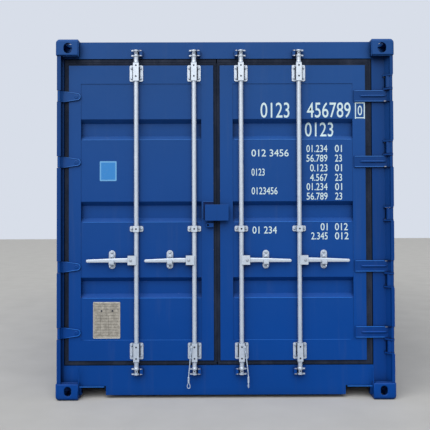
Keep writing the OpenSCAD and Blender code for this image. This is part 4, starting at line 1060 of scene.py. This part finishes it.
def weld(p, start, end, radius):
    # A bead along a line: its radius rises and falls with each ripple and closes at both ends.
    start, end = atEnd(*start), atEnd(*end)
    long = np.linalg.norm(end - start)
    s = np.linspace(0, 1, max(int(long / p["ripple"] * 3), 6))
    wave = 1 + p["rise"] * np.sin(2 * np.pi * s * long / p["ripple"])
    close = np.clip(np.minimum(s, 1 - s) * long / radius + 0.25, 0, 1) ** 0.5
    return tube(start + s[:, None] * (end - start), radius * wave * close, 6)


def notchLips(p):
    return [tube(np.linspace(*(atEnd(x, *p["lipPlace"]) for x in line), 20), p["lipRadius"], 10)
            for line in p["lips"]]


# Data plate: a light raised border, two dark rivets and ruled lines; it is left without words
dataPlate = {
    "middle": (-0.860, 0.564),
    "size": (0.196, 0.262),
    "recess": 0.0562,
    "border": 0.0020,
    "corner": 0.0045,
    "ruleHeights": (0.6760, 0.6640, 0.6440, 0.6180, 0.5980, 0.5760, 0.5560, 0.5340, 0.5140, 0.4940,
                    0.4740, 0.4560),
    "ruleLong": 0.168,
    "ruleTall": 0.0018,
    "ruleCorner": 0.0006,
    "columns": (-0.906, -0.846),
    "columnStart": 4,
    "rivets": ((-0.897, 0.6310), (-0.818, 0.6310)),
    "rivet": [(0.0072, 0.0), (0.0070, 0.0016), (0.0044, 0.0030), (0.0010, 0.0034)],
}


def plateParts(p):
    (x, z), (w, h), edge = p["middle"], p["size"], p["border"]
    ring = ringPath(x - w / 2 + edge, x + w / 2 - edge, z - h / 2 + edge, z + h / 2 - edge,
                    p["recess"], p["corner"])
    low, high = p["ruleHeights"][-1], p["ruleHeights"][p["columnStart"]]
    lines = [(x, height, p["ruleLong"], p["ruleTall"]) for height in p["ruleHeights"]]
    lines += [(column, (low + high) / 2, p["ruleTall"], high - low) for column in p["columns"]]
    rules = [pad(atEnd(lineX, p["recess"], lineZ), *size, p["ruleCorner"], slab(0.0005))
             for lineX, lineZ, *size in lines]
    rivets = [turned(atEnd(rx, p["recess"], rz), toEnd, p["rivet"]) for rx, rz in p["rivets"]]
    return [tube(ring, edge, wrap=True)], rules, rivets


# Inspection sticker: a plain field in a lighter border, each with its recess, size and corner
sticker = {
    "middle": (-0.849, 1.642),
    "border": (0.0580, 0.122, 0.144, 0.006),
    "field": (0.0576, 0.102, 0.124, 0.003),
}


def stickerPart(p, key):
    recess, *size = p[key]
    return pad(atEnd(p["middle"][0], recess, p["middle"][1]), *size, slab(0.0006))


# Marks: plain digits in rows on the right door, laid over its grooves, and one boxed digit
marks = {
    # bottom and top of each row, then its words with their left and right ends
    "rows": (
        (2.027, 2.138, ("0123", 0.258, 0.468), ("456789", 0.595, 0.913)),
        (1.893, 1.997, ("0123", 0.585, 0.792)),
        (1.745, 1.797, ("012 3456", 0.191, 0.461)),
        (1.776, 1.828, ("01.234", 0.590, 0.742), ("01", 0.797, 0.848)),
        (1.706, 1.758, ("56.789", 0.590, 0.742), ("23", 0.797, 0.848)),
        (1.606, 1.658, ("0123", 0.191, 0.286)),
        (1.636, 1.688, ("0.123", 0.616, 0.742), ("01", 0.797, 0.848)),
        (1.566, 1.618, ("4.567", 0.616, 0.742), ("23", 0.797, 0.848)),
        (1.470, 1.522, ("0123456", 0.191, 0.379)),
        (1.499, 1.551, ("01.234", 0.590, 0.742), ("01", 0.797, 0.848)),
        (1.430, 1.482, ("56.789", 0.590, 0.742), ("23", 0.797, 0.848)),
        (1.186, 1.238, ("01 234", 0.196, 0.373)),
        (1.208, 1.260, ("01", 0.690, 0.741), ("012", 0.794, 0.888)),
        (1.142, 1.194, ("2.345", 0.622, 0.741), ("012", 0.794, 0.893)),
    ),
    "boxed": (2.042, 2.114, "0", 0.964, 0.996),
    "box": (0.948, 1.012, 2.021, 2.133),
    "boxFoot": 0.004,
    "boxLine": 0.0075,
    "boxCorner": 0.0008,
    "boxRecess": 0.055,
    "stroke": 0.0008,
    "lift": 0.0006,
    # height and recess of the panel's corners, from the bottom member to the top one
    "profile": [(0.400, 0.055), (0.722, 0.058), (0.752, 0.092), (0.842, 0.092), (0.872, 0.058),
                (1.271, 0.058), (1.301, 0.092), (1.391, 0.092), (1.421, 0.058), (1.869, 0.058),
                (1.899, 0.092), (1.989, 0.092), (2.019, 0.058), (2.276, 0.058)],
}


def solidText(p, words, tall):
    # The letters are one unit thick, and their strokes a little fuller than the font's.
    curve = bpy.data.curves.new("digits", "FONT")
    curve.body = words
    curve.extrude = 0.5
    curve.offset = p["stroke"] / tall * 0.4
    curve.resolution_u = 4
    flat = placed("digits", curve)
    mesh = bpy.data.meshes.new_from_object(flat.evaluated_get(bpy.context.evaluated_depsgraph_get()))
    bpy.data.objects.remove(flat)
    shape = bmesh.new()
    shape.from_mesh(mesh)
    bmesh.ops.remove_doubles(shape, verts=shape.verts, dist=1e-5)
    bpy.data.meshes.remove(mesh)
    return shape


def drapedText(p, z0, z1, words, x0, x1):
    # The word's solid letters are fitted to the given box, cut where the panel bends, and pushed
    # back by the panel's recess at their own height.
    shape = solidText(p, words, z1 - z0)
    low, high = ([pick(v.co[axis] for v in shape.verts) for axis in (0, 1)] for pick in (min, max))
    for bend, _ in p["profile"]:
        if z0 < bend < z1:
            cut(shape, (0, low[1] + (bend - z0) / (z1 - z0) * (high[1] - low[1]), 0), (0, 1, 0))
    bmesh.ops.triangulate(shape, faces=shape.faces)
    bmesh.ops.recalc_face_normals(shape, faces=shape.faces)
    made = bpy.data.meshes.new("digits")
    shape.to_mesh(made)
    shape.free()
    across, tall, out = coordinates(made).T
    faces = np.empty(len(made.polygons) * 3, int)
    made.polygons.foreach_get("vertices", faces)
    bpy.data.meshes.remove(made)
    x = x0 + (across - low[0]) / (high[0] - low[0]) * (x1 - x0)
    z = z0 + (tall - low[1]) / (high[1] - low[1]) * (z1 - z0)
    y = endFace + np.interp(z, *np.array(p["profile"]).T) - (out + 0.1) * p["lift"]
    return np.stack([x, y, z], -1), np.empty((0, 4), int), list(faces.reshape(-1, 3))


def markParts(p):
    parts = [drapedText(p, z0, z1, *word) for z0, z1, *words in p["rows"] for word in words]
    (x0, x1, z0, z1), line, recess = p["box"], p["boxLine"], p["boxRecess"]
    parts.append(drapedText({**p, "profile": [(z0, recess), (z1, recess)]}, *p["boxed"]))
    middle, wide = (x0 + x1) / 2, x1 - x0 - line
    lines = [(x, (z0 + z1) / 2, line, z1 - z0 + line) for x in (x0, x1)]
    lines += [(middle, z, wide, line) for z in (z1, z0 + p["boxFoot"])]
    parts += [pad(atEnd(x, recess, z), *size, p["boxCorner"], slab(p["lift"])) for x, z, *size in lines]
    return parts


for side in ("left", "right"):
    piece(side + "OverlapHalf", [overlapHalf(overlap, side)], side + "_door", paint, "paint")
backRim = np.array([atEnd(x, overlap["backRecess"], z) for x, z in overlap["backRim"]])
# painted shadow of the cover, laid on the back plate
backShade = [pad(atEnd(x, overlap["backRecess"], z), *size, 0.001, slab(0.0006))
             for x, z, *size in overlap["backShade"]]
piece("backPlateRim", [tube(backRim, overlap["backRimRadius"]), eyeRim(overlap)], "left_door",
      wornPaint, "paint")
piece("backPlateShade", backShade, "left_door", shadedPaint, "paint")
leftRims, rightRims, rightRibs, bosses, wear = strapParts(strap)
piece("leftStrapRims", leftRims, "left_door", wornPaint, "paint")
piece("leftStrapBosses", bosses, "left_door", paint, "paint")
piece("rightStrapRims", rightRims, "right_door", wornPaint, "paint")
piece("rightStrapRibs", rightRibs, "right_door", paint, "paint")
piece("strapWear", wear, "right_door", wornSteel, "galvanised")
piece("hingeWashers", slitShadeParts(hingeWashers), "root", shadedPaint, "paint")
piece("cornerBlocks", cornerBlocks(hingeWashers), "root", paint, "paint")
for side in ("left", "right"):
    piece(side + "SealLips", sealLips(lips, side), side + "_door", rubber, "rubber")
    piece(side + "PressLines", pressParts(pressLines, side), side + "_door", wornPaint, "paint")
for name in ("top_castings", "bottom_castings"):
    roundedCopy(castingLook, name)
piece("holeCollars", [holeCollar(castingLook, x) for x in castingLook["holes"]], "root", paint, "paint")
piece("frameWelds", [weld(seams, *line) for line in seams["lines"]], "root", paint, "paint")
# the notch lips are in the lighter paint, a painted highlight
piece("notchLips", notchLips(seams), "root", wornPaint, "paint")
plateBorder, plateRules, plateRivets = plateParts(dataPlate)
piece("dataPlateBorder", plateBorder, "left_door", plateRim, "plate")
piece("dataPlateRules", plateRules, "left_door", etched, "plate")
piece("dataPlateRivets", plateRivets, "left_door", darkSteel, "plate")
piece("stickerBorder", [stickerPart(sticker, "border")], "left_door", markPale, "paint")
piece("stickerField", [stickerPart(sticker, "field")], "left_door", markSticker, "paint")
piece("doorDigits", markParts(marks), "right_door", markWhite, "paint")
print("doors dressed")


# Stage: a pale floor and a pale backdrop. Camera rays see the pale colours, and so do mirrored and
# transmitted ones; only a darker floor lights the object.
stageLook = {
    "floor": rgb(198, 197, 194),
    "floorDark": rgb(191, 190, 187),
    "floorBounce": rgb(92, 94, 98),
    "backdrop": rgb(216, 222, 233),
    "half": 40,
    "wallPlace": 22,
    "wallHeight": 30,
}


def seenRays(w):
    rays = w.node("LightPath").outputs
    seen = w.maths("MAXIMUM", rays["Is Camera Ray"], rays["Is Glossy Ray"])
    return w.maths("MAXIMUM", seen, rays["Is Transmission Ray"])


def floorMaterial(p):
    w = Wiring("paleFloor")
    color = w.mix(w.ramp(w.noise(3.0, 5.0), 0.3, 0.7), p["floor"], p["floorDark"])
    return w.finish(w.mix(seenRays(w), p["floorBounce"], color), 0.8)


def wallMaterial(p):
    w = Wiring("paleBackdrop")
    w.into(w.shader["Emission Color"], p["backdrop"])
    w.into(w.shader["Emission Strength"], seenRays(w))
    return w.finish(rgb(0, 0, 0), 1.0, gloss=0.0)


def makeStage(p):
    half, wall, top = p["half"], p["wallPlace"], p["wallHeight"]
    for name, corners, material in (
        ("stageFloor", [(-half, -half, 0), (half, -half, 0), (half, half, 0), (-half, half, 0)],
         floorMaterial(p)),
        ("stageBackdrop", [(-half, wall, 0), (half, wall, 0), (half, wall, top), (-half, wall, top)],
         wallMaterial(p)),
    ):
        mesh = bpy.data.meshes.new(name)
        mesh.from_pydata(corners, [], [(0, 1, 2, 3)])
        mesh.materials.append(material)
        plane = placed(name, mesh)


# Lights: a pale world and a soft sun
lights = {
    "worldStrength": 0.42,
    "worldColor": (0.93, 0.96, 1.0, 1.0),
    "shownColor": rgb(216, 222, 233),
    "sunStrength": 2.5,
    "sunAngleDegrees": 70,
    "sunTurnDegrees": (42, 0, -14),
}


def makeLights(p):
    world = bpy.data.worlds.new("paleWorld")
    bpy.context.scene.world = world
    world.use_nodes = True
    tree = world.node_tree
    background = tree.nodes["Background"]
    background.inputs["Color"].default_value = p["worldColor"]
    background.inputs["Strength"].default_value = p["worldStrength"]
    shown, either = tree.nodes.new("ShaderNodeBackground"), tree.nodes.new("ShaderNodeMixShader")
    shown.inputs["Color"].default_value = p["shownColor"]
    tree.links.new(tree.nodes.new("ShaderNodeLightPath").outputs["Is Camera Ray"], either.inputs[0])
    tree.links.new(background.outputs[0], either.inputs[1])
    tree.links.new(shown.outputs[0], either.inputs[2])
    tree.links.new(either.outputs[0], tree.nodes["World Output"].inputs["Surface"])
    data = bpy.data.lights.new("softSun", "SUN")
    data.energy = p["sunStrength"]
    data.angle = np.radians(p["sunAngleDegrees"])
    placed("softSun", data).rotation_euler = np.radians(p["sunTurnDegrees"])


makeStage(stageLook)
makeLights(lights)
bpy.context.scene.view_settings.view_transform = "Standard"
print("stage and lights set")
